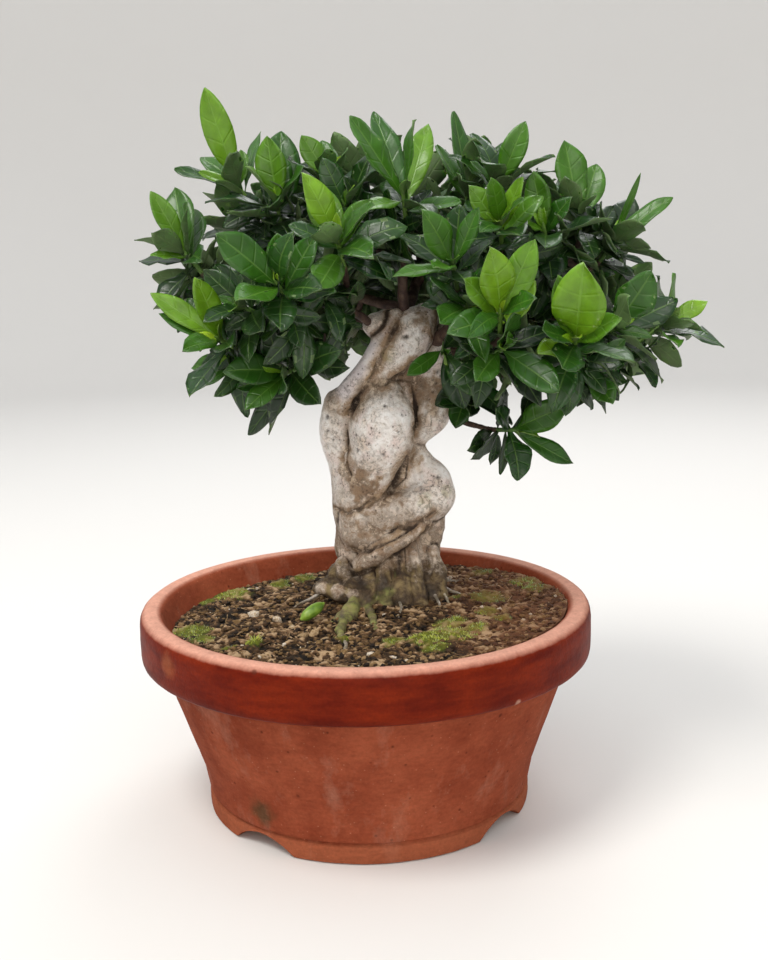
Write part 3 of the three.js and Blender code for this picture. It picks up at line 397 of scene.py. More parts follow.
# its wall as (radius, height), from the drain hole over foot, band and lip and back down inside
potProfile = [(11, 4), (79, 4), (82, -2.2), (83.5, -3), (100, -3), (101.6, -2.2), (102, 0), (102, 6),
              (101.5, 7.4), (100.3, 8), (99.8, 9), (100.4, 9.9), (101.9, 10.5), (102.3, 12.5), (105, 27),
              (112.8, 50), (121, 74), (124.8, 87), (125.9, 90.4), (126.6, 92.2), (128.6, 93.2), (134, 93.8),
              (137.8, 94.6), (139.3, 96.2), (139.8, 99), (140, 109), (139.9, 117), (139.4, 120.6),
              (138.2, 123), (136, 124.6), (133.2, 125), (130.4, 124.8), (128, 124), (126.6, 122.8),
              (125.6, 121), (114, 92), (91, 22), (87, 14), (11, 14), (11, 4)]


def makePot(material):
    look = potShape
    outline = [potProfile[0]]
    for (r0, z0), (r1, z1) in zip(potProfile, potProfile[1:]):
        cuts = max(1, math.ceil(math.hypot(r1 - r0, z1 - z0) / look["finest"]))
        outline += [(r0 + (r1 - r0) * k / cuts, z0 + (z1 - z0) * k / cuts) for k in range(1, cuts + 1)]
    edges = [(i, i + 1) for i in range(len(outline) - 1)]
    pot = newPiece("terracottaPot", [(r, 0, z) for r, z in outline], [], edges)
    alone(pot)
    bpy.ops.object.mode_set(mode="EDIT")
    bpy.ops.mesh.select_all(action="SELECT")
    bpy.ops.mesh.spin(steps=look["steps"], angle=2 * math.pi, center=tuple(potAxis), axis=(0, 0, 1))
    bpy.ops.mesh.select_all(action="SELECT")
    bpy.ops.mesh.remove_doubles(threshold=0.00002)
    bpy.ops.mesh.normals_make_consistent(inside=False)
    bpy.ops.object.mode_set(mode="OBJECT")
    points = pointsOf(pot)
    outward = points * (1, 1, 0)
    outward /= np.maximum(np.linalg.norm(outward, axis=1), 1)[:, None]
    swell = look["wobble"] * lumps(points, 60, 3) + look["dent"] * lumps(points, 9, 8)
    movePoints(pot, points + outward * swell[:, None] - outward * (look["wobble"] * 0.5))
    archRadius = (look["notchHalf"] ** 2 + look["notchHeight"] ** 2) / (2 * look["notchHeight"])
    for i in range(look["notchCount"]):
        turn = math.radians(look["notchFirst"] + 360 / look["notchCount"] * i)
        reach = look["footRadius"] - 5
        drop = look["footBottom"] + look["notchHeight"] - archRadius
        place = inMetres((math.sin(turn) * reach, -math.cos(turn) * reach, drop))
        bpy.ops.object.select_all(action="DESELECT")
        bpy.ops.mesh.primitive_cylinder_add(vertices=look["cutterSides"], radius=archRadius / 1000,
                                            depth=look["cutterDepth"] / 1000, location=place,
                                            rotation=(math.pi / 2, 0, turn))
        cutter = bpy.context.object
        cut = pot.modifiers.new("arch", "BOOLEAN")
        cut.operation = "DIFFERENCE"
        cut.solver = "EXACT"
        cut.object = cutter
        applyAll(pot)
        bpy.data.objects.remove(cutter)
    soften = pot.modifiers.new("worn edges", "BEVEL")
    soften.limit_method = "ANGLE"
    soften.angle_limit = math.radians(look["bevelAngle"])
    soften.width = look["edgeBevel"] / 1000
    soften.segments = 3
    applyAll(pot)
    bpy.ops.object.shade_smooth_by_angle(angle=math.radians(look["smoothAngle"]))
    dress(pot, material, ["pot"], smooth=False)


makePot(firedClay())
print("pot turned and cut")


# soil

# The soil's top lies on a leaning plane with a mound round the trunk and low waves, which die away between
# the two radii of "calm". The wall is the pot's inside as (height, radius).
soilShape = dict(level=115.5, leanX=0.05, leanY=-0.03, mound=4, reach=55, lump=1.6, floor=14.4,
                 calm=(98, 119), wall=[(14, 87), (22, 91), (92, 114), (122, 126)], below=(92, 60, 22),
                 rings=110, sectors=420, crumb=1.7, fineCrumb=1.2, moss=1.2, topAbove=98, trunkFoot=(14, 28))
# moss on the soil as (x, y, radius, share of bright growth, height of its stems)
mossPatches = [(-92, 67, 17, 0.8, 3), (-108, 50, 9, 0.4, 2.5), (-106, -19, 14, 0.65, 3),
               (-98, -38, 9, 0.5, 2.4), (48, -66, 16, 0.95, 4), (33, -74, 11, 0.85, 3.4),
               (64, -58, 8, 0.7, 3), (16, -70, 8, 0.5, 2.4), (110, 24, 11, 0.5, 2.6), (106, 42, 12, 0.65, 3),
               (22, 100, 14, 0.4, 2.5), (-42, 96, 11, 0.4, 2.5), (82, 76, 9, 0.3, 2.4),
               (-66, -56, 6, 0.95, 7), (-80, -62, 6, 0.5, 2.4), (80, -40, 7, 0.4, 2.2),
               (-60, 84, 9, 0.5, 2.4), (60, 10, 8, 0.5, 1.8), (-14, -62, 5, 0.6, 2), (50, -44, 12, 0.85, 3.4),
               (38, -87, 9, 0.8, 3), (78, 6, 14, 0.35, 1.8), (74, -24, 8, 0.5, 2.2)]


def soilWall(z):
    heights, radii = zip(*soilShape["wall"])
    return np.interp(z, heights, radii)


def soilPlane(x, y):
    return soilShape["level"] + soilShape["leanX"] * x + soilShape["leanY"] * y


def soilHeight(x, y):
    s = soilShape
    away = np.hypot(x - s["trunkFoot"][0], y - s["trunkFoot"][1])
    waves = np.sin(x * 0.11 + 1) * np.cos(y * 0.13) + 0.6 * np.sin(x * 0.23 - y * 0.19)
    top = soilPlane(x, y) + s["mound"] * np.exp(-((away / s["reach"]) ** 2)) + s["lump"] * waves
    share = ease(np.hypot(x, y), *s["calm"])
    return top * (1 - share) + soilPlane(x, y) * share


def mossShare(x, y):
    share = np.zeros_like(np.asarray(x, float))
    for px, py, radius, bright, tall in mossPatches:
        share = np.maximum(share, 1 - ease(np.hypot(x - px, y - py), radius * 0.45, radius * 1.15))
    return share


# Peat and bark: crumbly and matt, light and dark from grain to grain, green under moss and warm where dry.
ground = dict(moss="#677018", warm="#74452a")


def groundColours(name, stops, roughness, grainSize):
    material, tree, shader = newMaterial(name)
    place = addNode(tree, "TexCoord")
    facts = addNode(tree, "Attribute", attribute_name="groundFacts")
    parts = addNode(tree, "SeparateColor", {0: facts})
    grain = addNode(tree, "TexNoise", {"Vector": (place, "Object"), "Scale": cellsOf(grainSize),
                                       "Detail": 6.0, "Roughness": 0.7})
    drift = addNode(tree, "MapRange", {"Value": grain, "To Min": -0.3, "To Max": 0.3})
    tone = addNode(tree, "Math", {0: parts, 1: drift}, operation="ADD")
    ramp = addNode(tree, "ValToRGB", {0: tone}, stops)
    patchy = addNode(tree, "MapRange", {"Value": grain, "From Min": 0.38, "From Max": 0.6, "To Min": 0.35})
    mossy = addNode(tree, "Math", {0: (parts, 1), 1: patchy}, operation="MULTIPLY")
    damp = addNode(tree, "Mix", {0: mossy, 6: ramp, 7: ground["moss"]}, data_type="RGBA")
    warm = addNode(tree, "Mix", {0: (parts, 2), 6: (damp, 2), 7: ground["warm"]}, data_type="RGBA")
    rough = addNode(tree, "Bump", {"Height": grain, "Strength": 0.9, "Distance": 0.0016})
    setInputs(tree, shader, {"Base Color": (warm, 2), "Roughness": roughness, "Specular IOR Level": 0.3,
                             "Normal": rough})
    return material


def makeSoil(material):
    s = soilShape
    points = [(0.0, 0.0, float(soilHeight(0.0, 0.0)))]
    n = s["sectors"]
    angles = np.arange(n) / n * 2 * math.pi
    edge = soilWall(soilPlane(122 * np.cos(angles), 122 * np.sin(angles))) - 0.6
    for i in range(1, s["rings"] + 1):
        reach = edge * (i / s["rings"]) ** 0.85
        x, y = reach * np.cos(angles), reach * np.sin(angles)
        points.extend(zip(x.tolist(), y.tolist(), soilHeight(x, y).tolist()))
    for z in (*s["below"], s["floor"]):
        r = float(soilWall(z)) - 1
        points.extend((r * math.cos(a), r * math.sin(a), z) for a in angles)
    rows = s["rings"] + len(s["below"]) + 1
    faces = discFaces(rows, n)
    points.append((0, 0, s["floor"]))
    for k in range(n):
        faces.append((len(points) - 1, 1 + (rows - 1) * n + (k + 1) % n, 1 + (rows - 1) * n + k))
    soil = newPiece("pottingSoil", points, faces)
    places = pointsOf(soil)
    onTop = places[:, 2] > s["topAbove"]
    crumbs = s["crumb"] * lumps(places, 4.5, 1) + s["fineCrumb"] * lumps(places, 1.9, 5)
    moss = mossShare(places[:, 0], places[:, 1]) * onTop
    places[:, 2] += np.where(onTop, crumbs + s["moss"] * moss, 0)
    movePoints(soil, places)
    warm = ease(places[:, 0] + 18 * lumps(places, 12, 4), 30, 100) * 0.5
    # raised crumbs are lighter and the hollows between them darker, painted shade, with a random tone besides
    tone = 0.42 + 0.42 * lumps(places, 16, 9) + 0.36 * crumbs
    setFacts(soil, "groundFacts", np.stack([tone, moss * 0.9, warm, np.ones(len(places))], axis=1))
    dress(soil, material, ["soil"])


# An uneven crumb: a ball of 80 faces whose points are pushed in and out, turned and stretched.
def lump(dice, radius, flat=0.7, long=1.0):
    mesh = bmesh.new()
    bmesh.ops.create_icosphere(mesh, subdivisions=1, radius=radius)
    turn = Matrix.Rotation(dice.uniform(0, 6.3), 3, "Z") @ Matrix.Rotation(dice.uniform(-0.6, 0.6), 3, "X")
    stretch = dice.uniform(0.8, 1.7) * long
    points = []
    for vertex in mesh.verts:
        p = vertex.co * dice.uniform(0.72, 1.18)
        points.append(turn @ Vector((p.x * stretch, p.y, p.z * flat)))
    faces = [tuple(v.index for v in face.verts) for face in mesh.faces]
    mesh.free()
    return points, faces


# Loose bark crumbs, grit, long bits of bark litter and a few pale grains of perlite, sizes in millimetres.
crumbLook = dict(count=6800, small=0.45, large=2.1, reach=126, perlite=0.012, perliteTone=0.93,
                 tones=(-0.1, 0.75), litter=900, litterSize=(0.3, 0.6), litterTones=(0.3, 0.85),
                 litterLength=(4, 11), seed=41)
# single stones as (x, y, size, tone)
pebbles = [(-71, 5, 4, 0.93), (-55, -12, 3.4, 0.9), (-31, -46, 3.6, 0.8), (-38, -50, 2.8, 0.78),
           (-25, -52, 2.6, 0.82), (-45, -30, 2.6, 0.85), (62, 2, 2.8, 0.72), (30, -80, 2.4, 0.75),
           (-64, 30, 2.8, 0.74), (84, -30, 2.6, 0.7)]


def makeCrumbs(material):
    dice = random.Random(crumbLook["seed"])
    parts, tones = [], []
    jobs = []
    for i in range(crumbLook["count"]):
        away = crumbLook["reach"] * math.sqrt(dice.random())
        turn = dice.uniform(0, 2 * math.pi)
        size = crumbLook["small"] + (crumbLook["large"] - crumbLook["small"]) * dice.random() ** 2.6
        pale = dice.random() < crumbLook["perlite"]
        tone = crumbLook["perliteTone"] if pale else dice.uniform(*crumbLook["tones"])
        jobs.append((away * math.cos(turn), away * math.sin(turn), size, tone, 1.0))
    for i in range(crumbLook["litter"]):
        away = crumbLook["reach"] * math.sqrt(dice.random())
        turn = dice.uniform(0, 2 * math.pi)
        jobs.append((away * math.cos(turn), away * math.sin(turn), dice.uniform(*crumbLook["litterSize"]),
                     dice.uniform(*crumbLook["litterTones"]), dice.uniform(*crumbLook["litterLength"])))
    jobs += [(*pebble, 1.0) for pebble in pebbles]
    for x, y, size, tone, long in jobs:
        if mossShare(x, y) > 0.5 and size < 2 or math.hypot(x, y) > float(soilWall(soilPlane(x, y))) - 2:
            continue
        z = float(soilHeight(x, y)) + size * 0.25
        points, faces = lump(dice, size, long=long)
        parts.append(([(p.x + x, p.y + y, p.z + z) for p in points], faces))
        tones += [(tone, 0.0, 0.3 if x > 50 else 0.0, 1.0)] * len(points)
    crumbs = newPiece("soilCrumbs", *joined(parts))
    setFacts(crumbs, "groundFacts", tones)
    dress(crumbs, material, smooth=False)


def mossGreen():
    # cushions of living moss: a velvety green, bright yellow-green at the stem tips and darker at their
    # bases, a painted shade between the stems
    material, tree, shader = newMaterial("livingMoss")
    facts = addNode(tree, "Attribute", attribute_name="groundFacts")
    parts = addNode(tree, "SeparateColor", {0: facts})
    ramp = addNode(tree, "ValToRGB", {0: parts},
                   [(0.0, "#323e0d"), (0.3, "#677713"), (0.62, "#a2aa26"), (1.0, "#d8d35c")])
    setInputs(tree, shader, {"Base Color": ramp, "Roughness": 0.75, "Sheen Weight": 0.25})
    return material


# Each moss stem is a three-sided spike, thicker than a real one so that a cushion stays light.
mossLook = dict(perSquareMm=2.4, short=1.1, thick=0.46, lean=1.0, clump=4, seed=7)


def makeMoss(material):
    look = mossLook
    dice = random.Random(look["seed"])
    points, faces, tones = [], [], []
    for px, py, radius, bright, high in mossPatches:
        for i in range(int(math.pi * radius * radius * look["perSquareMm"])):
            away = radius * math.sqrt(dice.random())
            turn = dice.uniform(0, 2 * math.pi)
            x, y = px + away * math.cos(turn), py + away * math.sin(turn)
            edge = float(soilWall(soilPlane(x, y))) - 1.5
            if math.hypot(x, y) > edge or dice.random() < (away / radius) ** 3:
                continue
            clump = float(lumps(np.array([[x, y, 0.0]]), look["clump"], 13)[0])
            if clump < -0.25 + 0.5 * (away / radius) ** 2:
                continue
            z = float(soilHeight(x, y)) + 0.9 * clump
            tall = look["short"] + (high - look["short"]) * dice.random() * (1.2 - away / radius)
            tall *= 0.6 + clump
            sway = look["lean"] * tall
            tip = (x + dice.uniform(-1, 1) * sway, y + dice.uniform(-1, 1) * sway, z + tall)
            first = len(points)
            start = dice.uniform(0, 2)
            for k in range(3):
                a = start + k * 2 * math.pi / 3
                points.append((x + look["thick"] * math.cos(a), y + look["thick"] * math.sin(a), z - 0.6))
            points.append(tip)
            faces += [(first, first + 1, first + 3), (first + 1, first + 2, first + 3),
                      (first + 2, first, first + 3), (first + 2, first + 1, first)]
            tone = min(1, max(0, bright * 0.6 + dice.uniform(-0.2, 0.4)))
            # the stem bases are darker than the tips, painted shade inside the cushion
            tones += [(tone * 0.45, 0, 0, 1)] * 3 + [(tone, 0, 0, 1)]
    moss = newPiece("mossCushions", points, faces)
    setFacts(moss, "groundFacts", tones)
    dress(moss, material)


soilTones = [(0.12, "#120c06"), (0.4, "#3a2917"), (0.6, "#6b4f34"), (0.85, "#ad9170")]
crumbTones = [(0.0, "#1c120a"), (0.35, "#46311d"), (0.65, "#7d613c"), (0.86, "#b09572"), (0.95, "#d8cdbd")]
makeSoil(groundColours("peatAndBarkMix", soilTones, 0.92, 2.2))
makeCrumbs(groundColours("barkCrumbs", crumbTones, 0.85, 1.4))
makeMoss(mossGreen())
print("soil, crumbs and moss laid")


# trunk

# The trunk's swollen limbs, each a list of [x, y, z, radius] along its middle.
trunkLimbs = {
    "core": [[31, 36, 284, 13], [29, 36, 252, 15], [19, 36, 222, 17.5], [17, 33, 185, 21],
             [15, 31, 145, 27], [14, 28, 106, 29]],
    "arm": [[-11.5, 18, 246, 8.2], [-4.8, 13.5, 256, 7.2], [2.4, 11.3, 265, 6.6], [8.4, 12, 275, 6],
            [14.5, 15, 286, 5.6], [22, 20, 298, 5.3]],
    "behindArm": [[-5, 33, 238, 8], [3, 33, 250, 7.5], [11, 33, 264, 7.5], [19, 31, 280, 7.5]],
    "shoulder": [[-15, 21, 245, 8.6], [-16, 22.5, 233, 10.4], [-15, 24, 220, 11], [-11.5, 24, 206, 10.4],
                 [-8, 24, 190, 12], [-7, 24, 176, 13], [-6, 25, 163, 12], [-7, 26, 150, 12.5]],
    "ball": [[13, 16, 247, 15], [13.5, 13.5, 240.5, 19], [13, 12, 232, 21], [12, 13, 221, 20],
             [8.5, 15, 209, 17], [4, 17, 196, 14.5], [0, 19, 184, 13]],
    "upperLobe": [[41, 27, 297, 9.5], [36, 24, 292, 13], [30, 21, 284, 14], [22, 19, 274, 13.2],
                  [15, 18, 266, 10.4]],
    "knob": [[9.8, 19, 292.5, 7.8], [19, 25, 295, 8]],
    "backLimb": [[41, 34, 295, 9], [47, 34, 282, 10], [47.5, 33, 268, 11.4], [47, 32, 255, 12.4],
                 [46, 30, 242, 12.4], [43, 28, 232, 11], [36, 28, 224, 8.5]],
    "thigh": [[32, 28, 214, 7.4], [38, 27, 203, 10], [43.5, 25, 194, 12.6], [44.5, 21, 184, 14.2],
              [35, 16, 180, 13], [24, 13, 178, 11.6], [12, 13, 176, 11], [0, 17, 173, 10.5]],
    "belly": [[-5, 17, 172, 11], [-2, 14, 164, 13.4], [6, 14, 162, 11.4], [14, 16, 165, 8.5]],
    "cross": [[38, 12, 168, 5], [31, 5, 165, 5.8], [19, 1.5, 159, 6.3], [7, 1.5, 151, 6.4],
              [-3, 5, 144, 6]],
    "rightSide": [[43, 26, 172, 10], [42, 26, 159, 9.5], [39, 25, 148, 10], [36, 25, 136, 12],
                  [33, 24, 116, 13]],
    "backCross": [[45, 45, 190, 10.5], [33, 56, 176, 12.5], [14, 60, 160, 13.5], [-3, 52, 144, 12.5]],
    "backWrap": [[-13, 38, 228, 9.5], [-1, 53, 214, 12.5], [17, 57, 201, 12.5], [33, 50, 191, 10.5]],
    "backTop": [[40, 46, 272, 10.5], [30, 54, 254, 12.5], [18, 55, 238, 11.5], [6, 48, 224, 10.5]],
}
# Roots and knots at the foot. The last few are low ridges that run down into the soil.
roots = {
    "stub": [[-31, 13, 128, 4.2], [-19, 9, 126, 5.4], [-8, 7, 123, 6.2], [3, 11, 121, 6]],
    "leftKnot": [[-19, 22, 138, 4.4], [-20, 19, 132, 5.2], [-14, 15, 126, 7]],
    "rightRoot": [[36, 17, 132, 5], [42, 8, 124, 3.4], [45, 2, 113, 2.6]],
    "greenFork": [[-4, 6, 122, 5], [-10, -14, 119.5, 5.2], [-15, -35, 117, 3.6], [-15, -58, 117, 2.6],
                  [-15, -70, 108, 2]],
    "greenLeg": [[-10, -16, 118, 4], [-21, -26, 116, 3.2], [-26, -34, 108, 2.4]],
    "greenRoot": [[0, 4, 122, 3], [3, -18, 119, 2.6], [5, -42, 117.5, 2.4], [6, -54, 108, 2]],
    "backRoot": [[22, 50, 126, 9], [34, 66, 114, 6], [42, 76, 103, 3.5]],
    "backLeft": [[-6, 46, 128, 9], [-20, 60, 114, 5.5], [-28, 70, 104, 3.2]],
    "ridgeOne": [[0, 10, 146, 3.4], [2, 4, 134, 4.4], [0, 1, 121, 4.6], [-2, -2, 114, 3.6]],
    "ridgeTwo": [[10, 6, 144, 3.2], [12, 1, 132, 4], [13, -2, 120, 4.4], [13, -6, 112, 3]],
    "ridgeThree": [[20, 6, 152, 3], [22, 1, 138, 4], [23, -1, 124, 4.6], [25, -5, 113, 3.4]],
    "ridgeFour": [[31, 8, 150, 3.6], [33, 5, 138, 4.4], [34, 2, 124, 4.8], [37, -2, 113, 3]],
    "ridgeFive": [[44, 16, 150, 4], [47, 14, 136, 4.2], [48, 12, 124, 4], [52, 8, 114, 2.6]],
    "knotOne": [[-15, 15, 143, 4.2], [-13, 12, 136, 5], [-9, 10, 131, 5]],
    "knotTwo": [[-26, 15, 132, 3.2], [-21, 12, 129, 3.8]],
    "knotThree": [[-6, 5, 132, 4.6], [2, 5, 129, 4.4]],
}

# Sizes in millimetres. The pairs are heights: where the foot turns gnarled, how far up earth has splashed and
# where the bark changes from brown to pale.
trunkLook = dict(sides=24, rootSides=12, pathSteps=5, voxel=1.1, smooth=4, fillet=4, flow=17, swell=0.7,
                 knot=0.45, wrinkle=0.5, crease=3, groove=1.1, foldDepth=0.7, gnarl=1.0, scarRim=0.4,
                 scarDepth=0.9, gnarled=(126, 160), splashed=(118, 164), browned=(150, 222))
# places where neighbouring limbs have flowed together, as (x, y, z, radius)
flowing = [(-7, 12, 206, 13), (-8, 12, 190, 16), (-4, 10, 173, 13), (9, 6, 171, 11), (-13, 19, 245, 10),
           (36, 18, 206, 9), (14, 60, 190, 30), (27, 1, 126, 15), (6, 4, 126, 12), (46, 14, 130, 14),
           (-12, 12, 124, 9)]
# brown stained bark, and where it is lilac and smooth
stains = [(2, 6, 196, 14, 1), (-8, 10, 205, 10, 0.7), (4, 8, 169, 14, 0.9), (21, 4, 181, 9, 0.6),
          (-8, 10, 172, 12, 0.7), (42, 18, 293, 13, 0.9), (28, 20, 259, 11, 0.9), (46, 22, 252, 17, 0.9),
          (30, 14, 205, 10, 0.8), (-10, 8, 130, 22, 0.7), (20, 2, 126, 26, 0.8), (42, 12, 134, 16, 0.7),
          (20, 64, 190, 40, 0.6)]
smoothSkin = [(-10, 12, 256, 12), (-1, 10, 266, 11), (8, 11, 277, 10), (16, 15, 288, 10)]

# Folds on the side that faces the camera, pressed in and darkened with painted shade, as lines of (x, z)
# places and a width: the deep one between ball and thigh, both sides of the arm, the upper lobe, the back
# limb, the knee, both sides of the cross root, the collar on the left and the gap over the lowest root.
frontFolds = [([(28, 212), (24, 202), (20, 192), (12, 187)], 2.6),
              ([(-8, 240), (-3, 247), (4, 257), (11, 270), (17, 283), (23, 294)], 1.7),
              ([(4, 257), (15, 258), (27, 264), (33, 270)], 1.8), ([(33, 255), (35, 238), (33, 224)], 1.5),
              ([(21, 168), (32, 170), (44, 176)], 1.5),
              ([(-7, 154), (-2, 153), (9, 158), (24, 165), (32, 170)], 1.6),
              ([(-5, 140), (10, 144), (24, 153), (36, 162), (40, 167)], 2), ([(20, 141), (22, 149)], 3.4),
              ([(-18, 179), (-10, 177), (-2, 181), (8, 186)], 1.3), ([(-8, 202), (-11, 211), (-9, 217)], 1.1),
              ([(-28, 134), (-14, 133), (-5, 133), (3, 129)], 1.8)]
# a knee that stays pale, and the stub at the foot whose dirt is rubbed off
paleKnee = [(46, 8, 190, 24)]
rubbedRoot = [(-28, 8, 128, 7), (-18, 4, 127, 7), (-8, 1, 125, 7), (2, 2, 123, 7)]
# old scars as (x, y, z, radius), each at the surface
scars = [(-20.8, 15, 237, 2.2), (-20.3, 14, 228.5, 1.5), (-17.8, 13, 223, 1.2), (-5.3, -1, 227.5, 1.6),
         (-5, -1, 217.4, 1.8), (14.5, -5, 246.6, 1.6), (12.8, -6, 215.8, 1.5), (3.3, -7, 222.3, 1.1),
         (21.6, -6, 230.2, 1.1), (25, -4, 240, 1.2), (-1, 0, 209.8, 1.2), (28.6, 7, 286.7, 2.4),
         (49, 19, 263.5, 1.5), (47.5, 18, 256, 1.5), (45, 17, 251, 1.6), (49, 17, 243.7, 1.7),
         (42, 17, 247, 1.2), (44, 17, 259, 1.2), (36, 4, 198, 1.4), (47.8, 10, 200, 1.4), (37.7, 6, 192.8, 1),
         (44.4, 9, 194.3, 1), (6.8, -4, 151.5, 1.6), (29.8, -1, 167.3, 1.3), (24, 62, 205, 2.2),
         (40, 56, 178, 1.8), (12, 72, 160, 2), (30, 64, 250, 1.8)]
# green places, the last number being how green
mossyBark = [(39, 5, 184, 6, 0.5), (53, 12, 189, 5, 0.5), (18, 6, 275, 6, 0.4), (-11, -20, 117, 22),
             (-15, -48, 116, 20), (4, -28, 118, 26), (16, -3, 138, 4, 0.8), (15, -4, 130, 5, 0.8),
             (12, 70, 150, 12)]


def foldReach(points):
    # distance from the nearest fold, in widths of that fold
    wander = np.stack([lumps(points, 6, 41), lumps(points, 6, 42)], axis=1)
    flat = points[:, (0, 2)] + 1.5 * wander
    best = np.full(len(points), 1e9)
    for line, width in frontFolds:
        for start, end in zip(line, line[1:]):
            start, step = np.array(start, float), np.subtract(end, start)
            along = np.clip((flat - start) @ step / step.dot(step), 0, 1)
            away = np.linalg.norm(flat - start - along[:, None] * step, axis=1)
            best = np.minimum(best, away / width)
    return best


def nearestTubes(points):
    best = np.full((2, len(points)), 1e9)
    shown = [path for name, path in trunkLimbs.items() if name not in ("core", "behindArm")]
    for path in shown + list(roots.values()):
        s = np.array(path, float)
        away = np.full(len(points), 1e9)
        for a, b in zip(s, s[1:]):
            run = b[:3] - a[:3]
            t = np.clip((points - a[:3]) @ run / (run @ run), 0, 1)
            gap = np.linalg.norm(points - a[:3] - t[:, None] * run, axis=1) - (a[3] + t * (b[3] - a[3]))
            away = np.minimum(away, gap)
        closer = away < best[0]
        best[1] = np.where(closer, best[0], np.minimum(best[1], away))
        best[0] = np.where(closer, away, best[0])
    return best


def paleBark():
    # pale bark of an old gardenia: a satin skin with dark brown painted shade in its folds, thin dark cracks
    # and pores
    material, tree, shader = newMaterial("palePolishedBark")
    place = addNode(tree, "TexCoord")
    centred = addNode(tree, "Mapping", {"Vector": (place, "Object"), "Location": tuple(-potAxis)})
    facts = addNode(tree, "Attribute", attribute_name="barkFacts")
    parts = addNode(tree, "SeparateColor", {0: facts})
    tints = addNode(tree, "Attribute", attribute_name="barkTints")
    tint = addNode(tree, "SeparateColor", {0: tints})
    broad = addNode(tree, "TexNoise", {"Vector": centred, "Scale": cellsOf(13), "Detail": 9.0,
                                       "Roughness": 0.7, "Distortion": 0.25})
    skin = addNode(tree, "ValToRGB", {0: broad},
                   [(0.3, "#cbb6a2"), (0.43, "#e8dcd0"), (0.56, "#f6f1ec"), (0.72, "#fffefd")])
    rosy = addNode(tree, "TexNoise", {"Vector": centred, "Scale": cellsOf(9), "Detail": 4.0})
    rosyMask = addNode(tree, "MapRange", {"Value": rosy, "From Min": 0.5, "From Max": 0.68, "To Max": 0.5})
    # the first tint holds stains, a browner foot and painted shade round the valleys, laid on as one brown
    age = addNode(tree, "MapRange", {"Value": tint, "To Max": 0.85})
    patch = addNode(tree, "TexNoise", {"Vector": centred, "Scale": cellsOf(6.5), "Detail": 9.0,
                                       "Roughness": 0.78, "Distortion": 0.15})
    # rust patches, more of them where stains and painted shade lie
    stainShadeAndPatch = addNode(tree, "Math", {0: tint, 1: 0.19, 2: patch}, operation="MULTIPLY_ADD")
    rust = addNode(tree, "MapRange", {"Value": stainShadeAndPatch, "From Min": 0.56, "From Max": 0.7, "To Max": 0.8})
    rustTone = addNode(tree, "ValToRGB", {0: broad}, [(0.35, "#4f3425"), (0.52, "#7f6042"), (0.7, "#ab8d69")])
    # thin wandering cracks where a folded noise passes its middle
    folded = addNode(tree, "Math", {0: patch, 1: 0.47}, operation="SUBTRACT")
    line = addNode(tree, "Math", {0: folded}, operation="ABSOLUTE")
    crack = addNode(tree, "MapRange", {"Value": line, "From Min": 0.004, "From Max": 0.022, "To Min": 0.75,
                                       "To Max": 0.0})
    crackArea = addNode(tree, "MapRange", {"Value": broad, "From Min": 0.6, "From Max": 0.42})
    cracks = addNode(tree, "Math", {0: crack, 1: crackArea}, operation="MULTIPLY")
    # earth that splashed up the foot
    dirty = addNode(tree, "Math", {0: patch, 1: 0.9, 2: (tint, 2)}, operation="MULTIPLY_ADD")
    dirtMask = addNode(tree, "MapRange", {"Value": dirty, "From Min": 0.72, "From Max": 1.05, "To Max": 0.92})
    dirtTone = addNode(tree, "ValToRGB", {0: broad}, [(0.38, "#1e150b"), (0.5, "#4e3b22"), (0.62, "#86734b")])
    # painted shade: dark brown along the creases and front folds that the trunk marks in its bark facts
    fold = addNode(tree, "Math", {0: parts, 1: patch}, operation="MULTIPLY")
    creaseShadeMask = addNode(tree, "MapRange", {"Value": fold, "From Min": 0.16, "From Max": 0.46, "To Max": 0.95})
    greenNoise = addNode(tree, "MapRange", {"Value": patch, "From Min": 0.38, "From Max": 0.58})
    greenMask = addNode(tree, "Math", {0: (parts, 1), 1: greenNoise}, operation="MULTIPLY")
    pore = addNode(tree, "TexVoronoi", {"Vector": centred, "Scale": cellsOf(3.2), "Randomness": 1.0})
    poreMask = addNode(tree, "MapRange", {"Value": pore, "From Min": 0.12, "From Max": 0.22, "To Min": 0.75,
                                          "To Max": 0.0})
    poreArea = addNode(tree, "MapRange", {"Value": rosy, "From Min": 0.44, "From Max": 0.58})
    pores = addNode(tree, "Math", {0: poreMask, 1: poreArea}, operation="MULTIPLY")
    # from the skin outwards: pink and lilac skin, one brown for stains, a browner foot and painted shade,
    # rust, cracks, earth, dark painted shade in the folds, green, pores and scars
    coats = [(rosyMask, "#ecd5cf"), ((tint, 1), "#e0d7da"), (age, "#bda382"), (rust, rustTone),
             (cracks, "#4b372b"), (dirtMask, dirtTone), (creaseShadeMask, "#2a1a10"), (greenMask, "#8e934e"),
             (pores, "#4c382c"), ((parts, 2), "#33241a")]
    for where, colour in coats:
        skin = (addNode(tree, "Mix", {0: where, 6: skin, 7: colour}, data_type="RGBA"), 2)
    satin = addNode(tree, "MapRange", {"Value": patch, "To Min": 0.34, "To Max": 0.66})
    dull = addNode(tree, "Math", {0: tint, 1: 0.25, 2: satin}, operation="MULTIPLY_ADD")
    fine = addNode(tree, "TexNoise", {"Vector": centred, "Scale": cellsOf(1.5), "Detail": 5.0})
    grain = addNode(tree, "Bump", {"Height": fine, "Strength": 0.35, "Distance": 0.0005})
    dents = addNode(tree, "Bump", {"Height": patch, "Strength": 0.6, "Distance": 0.0022, "Normal": grain})
    openings = addNode(tree, "Math", {0: pores, 1: cracks}, operation="MAXIMUM")
    hollow = addNode(tree, "Bump", {"Height": openings, "Strength": 0.6, "Distance": 0.0007, "Normal": dents},
                     invert=True)
    setInputs(tree, shader, {"Base Color": skin, "Roughness": dull, "Specular IOR Level": 0.45,
                             "Normal": hollow})
    return material


